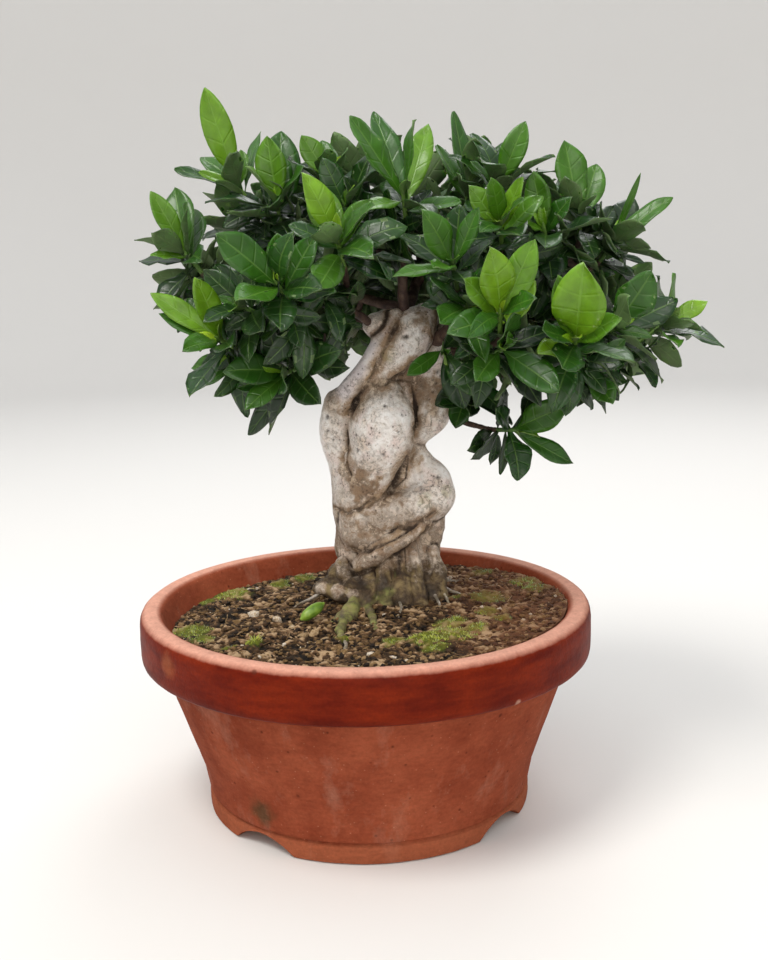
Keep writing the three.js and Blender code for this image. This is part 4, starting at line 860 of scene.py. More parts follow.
def spread(points, places, ragged=0.0):
    # share of each place at the points, with an outline that wanders by a part of its radius
    share = np.zeros(len(points))
    wander = ragged * (lumps(points, 8, 51) + 0.6 * lumps(points, 3.5, 52))
    for x, y, z, radius, *strength in places:
        away = np.linalg.norm(points - (x, y, z), axis=1) + radius * wander
        most = strength[0] if strength else 1
        share = np.maximum(share, most * (1 - ease(away, radius * 0.4, radius * 1.1)))
    return share


def makeTrunk(material):
    look = trunkLook
    parts = [tube(smoothPath(path, look["pathSteps"]), look["sides"]) for path in trunkLimbs.values()]
    parts += [tube(smoothPath(path, look["pathSteps"]), look["rootSides"]) for path in roots.values()]
    trunk = newPiece("knottedTrunk", *joined(parts))
    fuse = trunk.modifiers.new("grown together", "REMESH")
    fuse.mode = "VOXEL"
    fuse.voxel_size = look["voxel"] / 1000
    relax(trunk, "weathered", look["smooth"])
    # swell the valleys where limbs meet, most where they have flowed together
    points = pointsOf(trunk)
    near = nearestTubes(points)
    flow = spread(points, flowing)
    reach = look["fillet"] + (look["flow"] - look["fillet"]) * flow
    valley = np.clip(1 - (near[1] - near[0]) / reach, 0, 1)
    low = 1 - ease(points[:, 2], *look["gnarled"])
    gnarls = look["gnarl"] * low * (lumps(points, 8, 21) + 0.5 * lumps(points, 4, 22))
    pushOut(trunk, valley ** 2 * reach / 4 + gnarls)
    relax(trunk, "settled", look["smooth"])
    points = pointsOf(trunk)
    # painted shade: dark creases and a broader brown shade run along the valleys and the folds of the front,
    # and fade where the bark is whole
    gap = near[1] - near[0]
    broken = np.clip(0.75 + 0.8 * lumps(points, 14, 31), 0, 1)
    crease = (1 - ease(gap, 0.3, look["crease"])) * (1 - flow) * broken
    # the folds are darkened with painted shade only on the side that faces the camera
    frontward = ease(-normalsOf(trunk)[:, 1], -0.6, 0)
    folds = foldReach(points)
    deep = (1 - ease(folds, 0.3, 1.2)) * frontward * np.maximum(broken, 0.65)
    crease = np.maximum(crease, deep)
    paintedShade = (1 - ease(gap, 0, 6)) * (1 - 0.6 * flow) * broken
    paintedShade = np.maximum(paintedShade, (1 - ease(folds, 0.8, 4.5)) * frontward)
    # the bark is browner towards the foot
    brownerLow = 0.65 * (1 - ease(points[:, 2] + 12 * lumps(points, 12, 19), *look["browned"]))
    brownerLow *= 1 - spread(points, paleKnee, 0.4)
    # stains, painted shade along the valleys and the browner foot make one brown
    stain = np.maximum.reduce([spread(points, stains, 0.7) * 0.9, 0.9 * paintedShade, brownerLow])
    dirt = 1 - ease(points[:, 2] + 8 * lumps(points, 9, 17), *look["splashed"])
    dirt *= 1 - 0.7 * spread(points, rubbedRoot, 0.5)
    skin = spread(points, smoothSkin)
    rough = 1 - 0.8 * skin
    ridges = 1 - 2 * np.abs(lumps(points, 5.5, 11))
    rise = (look["swell"] * lumps(points, 13, 2) + look["knot"] * lumps(points, 5, 6)) * rough
    rise += look["wrinkle"] * (ridges - 0.7) * (0.3 + 0.9 * stain) * rough
    rise -= look["groove"] * crease ** 2 + look["foldDepth"] * deep
    scarMask = np.zeros(len(points))
    for x, y, z, radius in scars:
        away = np.linalg.norm(points - (x, y, z), axis=1)
        centre = points[np.argmin(away)]
        ring = np.linalg.norm(points - centre, axis=1)
        scarMask = np.maximum(scarMask, 1 - ease(ring, radius * 0.35, radius * 0.9))
        rise += look["scarRim"] * np.exp(-((ring - radius * 1.2) / (radius * 0.45)) ** 2)
        rise -= look["scarDepth"] * np.exp(-((ring / radius) ** 2) * 1.6)
    green = spread(points, mossyBark, 0.5) * 0.85
    pushOut(trunk, rise)
    solid = np.ones(len(points))
    setFacts(trunk, "barkFacts", np.stack([crease, green, scarMask * 0.85, solid], axis=1))
    # the first tint carries stains together with painted shade, the second the smooth skin, the third earth
    setFacts(trunk, "barkTints", np.stack([stain, skin * 0.8, dirt, solid], axis=1))
    dress(trunk, material, ["trunk"])


# Thin feeder roots that leave the foot and dive into the soil, as [x, y, z, radius] paths.
feederRoots = [
    [[40, 14, 127, 1.4], [44, 4, 123, 1.1], [46, -7, 120.5, 0.8], [47, -13, 114, 0.5]],
    [[46, 24, 127, 1.5], [54, 18, 122.5, 1.1], [61, 13, 121, 0.8], [65, 11, 115, 0.5]],
    [[44, 18, 128, 1.2], [50, 8, 123, 0.9], [52, -2, 120, 0.7], [55, -8, 114, 0.4]],
    [[20, 0, 124, 1.2], [22, -12, 120.8, 0.9], [20, -22, 119, 0.7], [20, -28, 113, 0.5]],
    [[-20, 22, 127, 1.6], [-34, 24, 118, 1.1], [-44, 20, 114.5, 0.7], [-50, 17, 109, 0.5]],
    [[-15, -58, 117.6, 1.4], [-12, -70, 117.6, 1], [-13, -82, 117.5, 0.8], [-13, -88, 112, 0.5]],
    [[-6, 60, 124, 1.6], [-12, 76, 114.5, 1.2], [-14, 88, 112.5, 0.8], [-16, 96, 107, 0.5]],
    [[44, 44, 126, 1.6], [58, 50, 119.5, 1.1], [70, 52, 118.5, 0.8], [77, 55, 112, 0.5]],
]


def makeFeederRoots(material):
    parts = [tube(smoothPath(path, 5), 8) for path in feederRoots]
    rootsPiece = newPiece("feederRoots", *joined(parts))
    points = pointsOf(rootsPiece)
    pushOut(rootsPiece, 0.25 * lumps(points, 3, 4))
    setFacts(rootsPiece, "barkFacts", [(0.2, 0.1, 0, 1)] * len(points))
    setFacts(rootsPiece, "barkTints", [(0.3, 0, 0.5, 1)] * len(points))
    dress(rootsPiece, material)


# The dropped bud, with its outline as (share of its length, share of its radius).
budLook = dict(start=(-39.5, -26, 119.2), end=(-26, -18, 126.5), radius=3.8, sides=20,
               outline=[(0.02, 0.3), (0.1, 0.66), (0.25, 0.92), (0.45, 1), (0.65, 0.97), (0.82, 0.78),
                        (0.94, 0.46), (1.0, 0.24)])


def makeBud():
    # plant skin with a thin wax on it: smooth, half glossy and mottled from yellow to deep green
    material, tree, shader = newMaterial("waxyGreenBud")
    place = addNode(tree, "TexCoord")
    mottle = addNode(tree, "TexNoise", {"Vector": (place, "Object"), "Scale": cellsOf(5), "Detail": 4.0})
    skin = addNode(tree, "ValToRGB", {0: mottle}, [(0.3, "#4a6a1a"), (0.55, "#73922c"), (0.8, "#9db04e")])
    soft = addNode(tree, "Bump", {"Height": mottle, "Strength": 0.3, "Distance": 0.0005})
    setInputs(tree, shader, {"Base Color": skin, "Roughness": 0.42, "Normal": soft})
    start, end = np.array(budLook["start"]), np.array(budLook["end"])
    stations = [[*(start + (end - start) * t), r * budLook["radius"]] for t, r in budLook["outline"]]
    bud = newPiece("droppedBud", *tube(stations, budLook["sides"]))
    dress(bud, material, ["fallen_bud"])


barkMaterial = paleBark()
makeTrunk(barkMaterial)
makeFeederRoots(barkMaterial)
makeBud()
print("trunk grown together")


# branches and shoots

# Brown limbs that carry the sprays, as paths of [x, y, z, radius].
limbs = {
    "limb_left": [
        [[12, 34, 290, 4.6], [-2, 37, 294, 4], [-18, 28, 300, 3.4], [-40, 15, 296, 3], [-62, 5, 298, 2.7],
         [-80, 3, 314, 2.2]],
        [[-18, 28, 300, 3.2], [-28, 24, 318, 2.9], [-40, 20, 334, 2.6], [-50, 24, 346, 2.2]],
    ],
    "limb_front_left": [[[14, 22, 286, 3.4], [0, 8, 300, 3], [-12, -12, 303, 2.7], [-24, -32, 300, 2.3]]],
    "limb_crown": [[[29, 26, 294, 4.4], [27, 17, 314, 3.8], [28, 12, 332, 3.3], [30, 6, 344, 2.7]]],
    "limb_top_right": [[[40, 32, 292, 5.5], [56, 30, 312, 5], [78, 22, 322, 4.2], [104, 16, 326, 3.5],
                        [128, 20, 330, 2.6]]],
    "limb_right": [
        [[52, 34, 276, 5.5], [68, 32, 270, 5], [90, 20, 262, 4.4], [116, 8, 260, 3.6], [146, 8, 266, 2.6]],
        [[68, 32, 270, 4.6], [84, 52, 278, 4], [102, 68, 288, 3.2], [116, 76, 300, 2.4]],
    ],
    "limb_front_right": [[[48, 26, 282, 5], [57, 4, 292, 4.4], [62, -20, 290, 3.6], [67, -44, 284, 2.8]]],
    "limb_low": [[[54, 27, 238, 2.6], [64, 16, 232, 2.2], [74, 4, 230, 2]]],
    "limb_back": [
        [[30, 44, 284, 6], [32, 62, 300, 5], [38, 82, 314, 4.2], [42, 100, 326, 3]],
        [[32, 62, 300, 4.6], [8, 74, 306, 4], [-14, 84, 312, 3.2], [-34, 86, 318, 2.4]],
        [[38, 82, 314, 3.6], [50, 78, 334, 3.2], [58, 70, 350, 2.4]],
    ],
}

twig = dict(radius=1.5, rootRadius=2.1, backLean=0.5, forward=16, joints=10, jointSwell=0.14)

# Green shoots: the limb each grows on, the ends of its stem, how many leaves it has and their length, how
# fresh they are from 0 to 1, and the tips, some with a width, of the leaves that shape the outline.
shootTable = {
    "left_top": ("limb_left", [-57, 28, 358], [-73, 21, 380], 9, 37, 0.5,
        [[-88, 5, 433, 20], [-93, 8, 405, 13], [-92, -2, 386, 10], [-70, 32, 400, 13], [-60, 45, 414, 8]]),
    "left_tall": ("limb_left", [-46, 12, 351], [-47, 5, 367], 10, 39, 0.3,
        [[-51, -2, 405], [-43, 22, 410], [-34, 30, 408], [-62, -22, 388], [-30, -18, 386]]),
    "left_inner": ("limb_left", [-58, 34, 344], [-68, 42, 356], 9, 38, 0.1, []),
    "left_end": ("limb_left", [-93, 1, 327], [-103, -4, 340], 10, 38, 0.3,
        [[-118, -10, 375, 13], [-108, 15, 378], [-98, 22, 366], [-126, -15, 343, 11], [-100, -20, 368]]),
    "left_back": ("limb_left", [-84, 24, 308], [-96, 32, 318], 9, 38, 0.1, []),
    "left_low": ("limb_left", [-71, -22, 283], [-80, -36, 290], 11, 38, 0.4,
        [[-117, -38, 318, 13], [-106, -54, 320, 13], [-89, -62, 326, 15], [-118, -48, 305, 12]]),
    "left_under": ("limb_left", [-60, -2, 278], [-71, -9, 276], 10, 36, 0.2,
        [[-95, -25, 264, 13], [-103, 5, 271, 12], [-80, -34, 290]]),
    "middle_left": ("limb_left", [-15, 20, 367], [-15, 14, 380], 9, 37, 0.4,
        [[-31, 14, 407], [-21, 28, 405], [-12, 30, 414], [-4, -6, 397]]),
    "middle_inner": ("limb_crown", [-2, 2, 352], [-7, -8, 364], 9, 36, 0.2, []),
    "front_left": ("limb_front_left", [-38, -54, 310], [-44, -69, 321], 11, 39, 0.35,
        [[-74, -86, 348], [-46, -78, 352], [-24, -66, 347], [-66, -103, 314], [-12, -82, 318]]),
    "front_left_high": ("limb_front_left", [-8, -44, 330], [-11, -58, 343], 10, 38, 0.6,
        [[-28, -75, 378, 16], [8, -62, 366], [-22, -44, 376]]),
    "front_left_side": ("limb_front_left", [-52, -34, 302], [-64, -46, 308], 9, 38, 0.15, []),
    "front_left_low": ("limb_front_left", [-34, -26, 273], [-43, -38, 270], 9, 38, 0.15,
        [[-75, -58, 276], [-71, -42, 262], [-66, -56, 236, 19]]),
    "crown": ("limb_crown", [29, -3, 354], [27, -14, 370], 11, 43, 0.45,
        [[-3, -28, 412, 17], [10, -38, 406, 20], [28, -42, 408, 20], [22, 10, 425, 20], [47, 4, 423, 18],
         [0, -44, 361, 12], [58, -32, 366, 14]]),
    "crown_right": ("limb_top_right", [66, 26, 360], [69, 25, 374], 10, 40, 0.3,
        [[60, 32, 421, 13], [75, 20, 413, 18], [88, 8, 388], [50, 30, 408]]),
    "crown_side": ("limb_top_right", [84, 6, 362], [84, 1, 376], 9, 39, 0.25,
        [[98, -8, 410, 15], [67, -6, 402]]),
    "middle_right": ("limb_front_right", [56, -38, 316], [52, -54, 330], 10, 38, 0.15,
        [[36, -72, 358], [62, -64, 362], [18, -76, 326, 10], [40, -84, 330]]),
    "middle_high": ("limb_top_right", [83, -26, 339], [80, -40, 351], 10, 37, 0.45,
        [[74, -58, 376, 12], [91, -52, 376, 11], [64, -40, 378], [102, -44, 366]]),
    "front_right": ("limb_front_right", [77, -66, 292], [75, -82, 304], 11, 38, 0.7,
        [[70, -104, 337, 20], [91, -94, 342, 17], [57, -96, 324], [99, -90, 324]]),
    "right_pale": ("limb_top_right", [113, -2, 337], [109, -14, 349], 10, 38, 0.35,
        [[101, -22, 381, 15], [120, -28, 370], [92, -30, 354]]),
    "right_top": ("limb_top_right", [136, 19, 344], [135, 14, 357], 10, 40, 0.4,
        [[125, 14, 401, 21], [137, -6, 374, 15], [149, 30, 388], [154, 12, 375]]),
    "right_far": ("limb_top_right", [150, 26, 329], [157, 20, 341], 9, 40, 0.15,
        [[175, 4, 380, 5], [191, 14, 367, 13], [178, 22, 328, 6], [166, -14, 352]]),
    "right_bright": ("limb_right", [121, -48, 276], [118, -68, 288], 10, 40, 0.6,
        [[119, -92, 328, 29], [106, -78, 322, 15], [138, -86, 302], [96, -84, 282]]),
    "right_olive": ("limb_right", [140, -14, 284], [149, -25, 291], 9, 43, 0.2,
        [[168, -38, 322, 24], [174, -34, 296], [150, -56, 310]]),
    "right_end": ("limb_right", [168, 6, 278], [184, 0, 291], 9, 37, 0.5,
        [[188, -7, 322, 16], [221, -6, 311, 14], [171, 18, 322, 11], [186, -32, 282]]),
    "front_right_low": ("limb_front_right", [71, -56, 279], [78, -70, 284], 10, 39, 0.1,
        [[106, -92, 264, 19], [84, -96, 306], [60, -92, 270]]),
    "right_low": ("limb_right", [127, -14, 262], [134, -26, 266], 10, 37, 0.2,
        [[152, -44, 283], [146, -40, 249, 16], [160, -12, 259, 11], [112, -48, 258]]),
    "low_shoot": ("limb_low", [82, -8, 230], [92, -17, 231], 7, 34, 0,
        [[121, -37, 248, 19], [79, -32, 247, 15], [94, -27, 203, 20], [127, -14, 208, 13],
         [86, -4, 201, 7]]),
    "front_curl": ("limb_front_right", [58, -42, 301], [60, -58, 308], 9, 38, 0.3,
        [[66, -90, 282, 13], [43, -88, 300]]),
    "trunk_front": ("limb_front_right", [50, -18, 284], [48, -28, 280], 7, 38, 0.05,
        [[27, -46, 269, 10], [62, -26, 246]]),
    "trunk_right": ("limb_right", [70, 20, 262], [66, 12, 254], 6, 36, 0,
        [[58, -2, 231, 15], [88, -2, 240, 14]]),
    "back_left_top": ("limb_back", [-34, 66, 350], [-42, 70, 364], 9, 39, 0.3, []),
    "back_left_end": ("limb_back", [-56, 78, 326], [-70, 80, 334], 10, 39, 0.2, []),
    "back_left_low": ("limb_back", [-44, 98, 306], [-56, 108, 306], 9, 39, 0.1, []),
    "back_left_out": ("limb_back", [-8, 108, 328], [-12, 120, 336], 10, 39, 0.3, []),
    "back_left_under": ("limb_back", [-6, 96, 292], [-12, 108, 288], 9, 38, 0, []),
    "back_top_left": ("limb_back", [6, 60, 370], [3, 64, 384], 9, 38, 0.4, []),
    "back_top": ("limb_back", [36, 84, 362], [34, 92, 376], 9, 38, 0.3, []),
    "back_middle": ("limb_back", [42, 114, 338], [42, 128, 344], 10, 40, 0.3, []),
    "back_under": ("limb_back", [40, 112, 304], [42, 124, 300], 9, 39, 0.1, []),
    "back_top_right": ("limb_back", [74, 66, 368], [78, 68, 382], 9, 38, 0.4, []),
    "back_right_high": ("limb_back", [84, 98, 342], [92, 108, 352], 10, 39, 0.2, []),
    "back_right": ("limb_right", [98, 104, 308], [102, 118, 314], 10, 40, 0.2, []),
    "back_right_top": ("limb_right", [124, 66, 346], [128, 70, 360], 9, 38, 0.3, []),
    "back_right_end": ("limb_right", [136, 88, 322], [147, 96, 330], 10, 39, 0.2, []),
    "side_right_back": ("limb_right", [152, 52, 296], [165, 56, 304], 9, 39, 0.2, []),
    "back_right_low": ("limb_right", [116, 82, 280], [124, 94, 276], 9, 38, 0, []),
    "back_low": ("limb_right", [76, 92, 276], [74, 104, 270], 9, 38, 0, []),
}
shootParts = ("limb", "start", "tip", "count", "size", "young", "tips")
shoots = {name: dict(zip(shootParts, row)) for name, row in shootTable.items()}

# How a shoot grows, by the rules that its solid was grown with: its stem, its whorls of leaves, a blade's
# thickness and its width as a share of its length, how a leaf gives way to others and turns to the light.
stem = dict(radius=1.7, tipRadius=1.45, topMargin=1, whorlStep=3.6)
whorl = dict(leaves=3, lean=[32, 56, 76, 92], sizes=[0.86, 1, 1, 0.9], jitter=12, lift=0.1)
blade = dict(thick=0.8, width=0.47)
placing = dict(attempts=24, turn=0.08, heroTurn=0.04, shrink=0.018, aim=1.5)
facing = dict(front=np.array((0, -1, 0.2)), shown=1, outward=0.35, twist=0.4)
trunkFoot = soilShape["trunkFoot"]


# Evenly spread random numbers from a seed, the same as those the solids were grown with.
def draws(seed):
    state = [seed & 0xffffffff]

    def draw():
        state[0] = (state[0] + 0x6d2b79f5) & 0xffffffff
        s = state[0]
        mixed = ((s ^ (s >> 15)) * (s | 1)) & 0xffffffff
        mixed = (mixed ^ (mixed + (mixed ^ (mixed >> 7)) * (mixed | 61))) & 0xffffffff
        return (mixed ^ (mixed >> 14)) / 4294967296

    return draw


def shootFrame(shoot):
    start, tip = np.array(shoot["start"], float), np.array(shoot["tip"], float)
    axis = unit(tip - start)
    level = np.cross((0, 0, 1), axis)
    side = np.array((1.0, 0, 0)) if np.linalg.norm(level) < 0.2 else unit(level)
    side = unit(side - axis * side.dot(axis))
    length = np.linalg.norm(tip - start)
    whorls = math.ceil(shoot["count"] / whorl["leaves"])
    step = min(stem["whorlStep"], (length - stem["topMargin"] - 2.5) / whorls)
    heights = [length - stem["topMargin"] - step * i for i in range(whorls)]
    return dict(start=start, axis=axis, side=side, front=np.cross(axis, side), length=length, heights=heights)


def beside(f, height, angle, distance):
    return (f["start"] + f["axis"] * height + f["side"] * (distance * math.cos(angle))
            + f["front"] * (distance * math.sin(angle)))


def stemRadius(f, height):
    return stem["radius"] + (stem["tipRadius"] - stem["radius"]) * height / f["length"]


def leafSlots(shoot, f, phase):
    free = [dict(ring=ring, height=height, angle=phase + math.pi / 3 * (ring + 2 * k), point=None)
            for ring, height in enumerate(f["heights"]) for k in range(whorl["leaves"])]
    slots = []
    for point in shoot["tips"]:
        costs = []
        for slot in free:
            chord = np.array(point[:3]) - beside(f, slot["height"], 0, 0)
            lean = math.acos(np.clip(unit(chord).dot(f["axis"]), -1, 1))
            azimuth = math.atan2(chord.dot(f["front"]), chord.dot(f["side"]))
            apart = azimuth - slot["angle"]
            turn = abs(math.atan2(math.sin(apart), math.cos(apart)))
            costs.append(abs(lean - math.radians(whorl["lean"][slot["ring"]])) + placing["aim"] * turn)
        chosen = free.pop(int(np.argmin(costs)))
        chosen["point"] = point
        slots.append(chosen)
    return slots + free[:max(0, shoot["count"] - len(slots))]


def shootPhase(shoot, f, index):
    if not shoot["tips"]:
        return 0.8 * index
    chord = np.array(shoot["tips"][0][:3]) - f["start"]
    return math.atan2(chord.dot(f["front"]), chord.dot(f["side"]))


def untwisted(upward, along, axis):
    straight = unit(axis - along * axis.dot(along))
    across = np.cross(along, straight)
    twist = math.atan2(upward.dot(across), upward.dot(straight))
    nearest = math.pi / 2 * math.floor(twist / (math.pi / 2) + 0.5)
    kept = nearest + min(facing["twist"], max(-facing["twist"], twist - nearest))
    return straight * math.cos(kept) + across * math.sin(kept)


def leafPose(shoot, f, slot, seed, attempt):
    draw, shake = draws(seed), draws(seed + 32 + attempt)
    base = beside(f, slot["height"], slot["angle"], stemRadius(f, slot["height"]) / 2)
    turn = slot["angle"] + math.radians(whorl["jitter"] * (2 * draw() - 1))
    lean = math.radians(whorl["lean"][slot["ring"]] + whorl["jitter"] * (2 * draw() - 1))
    outward = beside(f, 0, turn, 1) - f["start"]
    chord = f["axis"] * math.cos(lean) + outward * math.sin(lean)
    chord[2] += whorl["lift"] * slot["ring"]
    chord = unit(chord) * (shoot["size"] * whorl["sizes"][slot["ring"]] * (0.92 + 0.16 * draw()))
    width = np.linalg.norm(chord) * blade["width"] * (0.94 + 0.14 * draw())
    fold = 0.14 + 0.24 * draw()
    bend = -0.04 + 0.2 * draw()
    roll = 0.7 * (draw() - 0.5)
    point = slot["point"]
    if point:
        chord = np.array(point[:3]) - base
        width = point[3] if len(point) > 3 else np.linalg.norm(chord) * blade["width"]
    if attempt > 0:
        step = (placing["heroTurn"] if point else placing["turn"]) * attempt * np.linalg.norm(chord)
        shorter = 1 - placing["shrink"] * attempt
        chord = (chord + np.array([shake() - 0.5, shake() - 0.5, shake() - 0.5]) * step) * shorter
        width *= shorter
    along = unit(chord)
    upward = f["axis"] * (1 - 0.25 * slot["ring"]) + np.array((0, 0, 0.5)) + f["side"] * roll
    if point:
        upward = upward + facing["front"] * facing["shown"]
    else:
        upward = upward + unit(np.array((base[0] - trunkFoot[0], base[1] - trunkFoot[1],
                                         0))) * facing["outward"]
    upward = untwisted(unit(upward - along * upward.dot(along)), along, f["axis"])
    stretch = math.hypot(1, bend)
    return dict(base=base, width=width, fold=fold, bend=bend, ring=slot["ring"], shaped=bool(point),
                length=np.linalg.norm(chord) / stretch, along=(along + upward * bend) / stretch,
                upward=(upward - along * bend) / stretch)


def leafTip(leaf):
    rise = blade["thick"] / 2 - leaf["bend"] * leaf["length"]
    return leaf["base"] + leaf["along"] * leaf["length"] + leaf["upward"] * rise


# The leaves that a shoot's solid has: each is the first pose whose tip is a corner of that solid.
def grownLeaves(name, shoot, index):
    f = shootFrame(shoot)
    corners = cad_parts["shoot_" + name].data.vertices
    tree = kdtree.KDTree(len(corners))
    for i, corner in enumerate(corners):
        tree.insert(corner.co, i)
    tree.balance()
    leaves = []
    for i, slot in enumerate(leafSlots(shoot, f, shootPhase(shoot, f, index))):
        for attempt in range(placing["attempts"]):
            leaf = leafPose(shoot, f, slot, 4096 * index + 64 * i + 1, attempt)
            if tree.find(inMetres(leafTip(leaf)))[2] < 0.00005:
                leaves.append(leaf)
                break
    return f, leaves


# A leaf's outline as shares of its length and of half its width, and its columns from edge to edge.
leafOutline = dict(t=[0, 0.06, 0.18, 0.34, 0.5, 0.66, 0.82, 0.93, 1],
                   w=[0.1, 0.12, 0.42, 0.78, 0.97, 0.98, 0.74, 0.37, 0.04],
                   s=[-1, -0.6, 0, 0.6, 1])
# the same for the leaves that shape the outline, and for the small old ones inside
shapedOutline = dict(t=[0, 0.05, 0.1, 0.18, 0.27, 0.37, 0.47, 0.57, 0.67, 0.76, 0.84, 0.91, 0.96, 1],
                     w=[0.1, 0.11, 0.2, 0.42, 0.66, 0.84, 0.95, 1, 0.96, 0.85, 0.68, 0.46, 0.25, 0.04],
                     s=[-1, -0.66, -0.3, 0, 0.3, 0.66, 1])
shadeOutline = dict(t=[0, 0.14, 0.34, 0.56, 0.8, 0.94, 1], w=[0.1, 0.3, 0.78, 1, 0.8, 0.38, 0.04],
                    s=[-1, -0.5, 0, 0.5, 1])
leafLook = dict(thick=0.5, wave=0.07, curl=0.3, sway=0.04, groove=0.3, soft=1.2, cup=0.05, twist=0.6)


# A blade of two skins with rippled edges, a fold and a groove along its midrib, a droop and a twist.
def bladeMesh(leaf, dice, outline):
    t = np.array(outline["t"])[:, None]
    s = np.array(outline["s"])[None, :]
    half = leaf["width"] / 2 * np.array(outline["w"])[:, None]
    across = s * half
    edge = np.abs(s) ** 2
    phase, waves = dice.uniform(0, 6.3), dice.uniform(1.2, 2.6)
    ripple = np.sin(2 * math.pi * waves * t + phase + 1.3 * np.sign(s))
    wave = leafLook["wave"] * leaf["width"] * edge * ripple
    curl = dice.uniform(-0.25, 1) * leafLook["curl"] * leaf["length"] * np.clip(t - 0.4, 0, 1) ** 2 * 2
    sway = dice.uniform(-1, 1) * leafLook["sway"] * leaf["length"] * t * t
    fold = leaf["fold"] * dice.uniform(0.5, 1.3)
    valley = fold * (np.sqrt(across ** 2 + leafLook["soft"]) - math.sqrt(leafLook["soft"]))
    cup = leafLook["cup"] * half * (edge - edge ** 2) * 2
    local = valley + wave + cup - leafLook["groove"] * np.exp(-(s / 0.14) ** 2) * np.clip(half / 4, 0, 1)
    bow = -leaf["bend"] * leaf["length"] * t * t - curl * (0.4 if leaf["shaped"] else 1)
    turned = dice.uniform(-1, 1) * leafLook["twist"] * (0.3 if leaf["shaped"] else 1) * t
    flat = np.cross(leaf["along"], leaf["upward"])
    side = np.cos(turned)[..., None] * flat + np.sin(turned)[..., None] * leaf["upward"]
    up = np.cos(turned)[..., None] * leaf["upward"] - np.sin(turned)[..., None] * flat
    middle = (leaf["base"] + (leaf["length"] * t * np.ones_like(s))[..., None] * leaf["along"]
              + (bow * np.ones_like(s))[..., None] * leaf["upward"] + (across + sway)[..., None] * side
              + local[..., None] * up)
    rows, columns = middle.shape[:2]
    thin = (leafLook["thick"] / 2 * (1 - 0.45 * edge) * np.ones_like(t))[..., None] * leaf["upward"]
    points = np.concatenate([(middle + thin).reshape(-1, 3), (middle - thin).reshape(-1, 3)])
    uv = np.stack([(s + 1) / 2 * np.ones_like(t), t * np.ones_like(s)], axis=-1).reshape(-1, 2)
    under = rows * columns
    faces = []

    def at(i, j):
        return i * columns + j

    for i in range(rows - 1):
        for j in range(columns - 1):
            a, b, c, d = at(i, j), at(i, j + 1), at(i + 1, j + 1), at(i + 1, j)
            faces += [(a, b, c, d), (d + under, c + under, b + under, a + under)]
        a, b = at(i, 0), at(i + 1, 0)
        faces.append((a, b, b + under, a + under))
        a, b = at(i, columns - 1), at(i + 1, columns - 1)
        faces.append((a + under, b + under, b, a))
    for j in range(columns - 1):
        a, b = at(0, j), at(0, j + 1)
        faces.append((b, a, a + under, b + under))
        a, b = at(rows - 1, j), at(rows - 1, j + 1)
        faces.append((a, b, b + under, a + under))
    return points.tolist(), faces, np.concatenate([uv, uv])


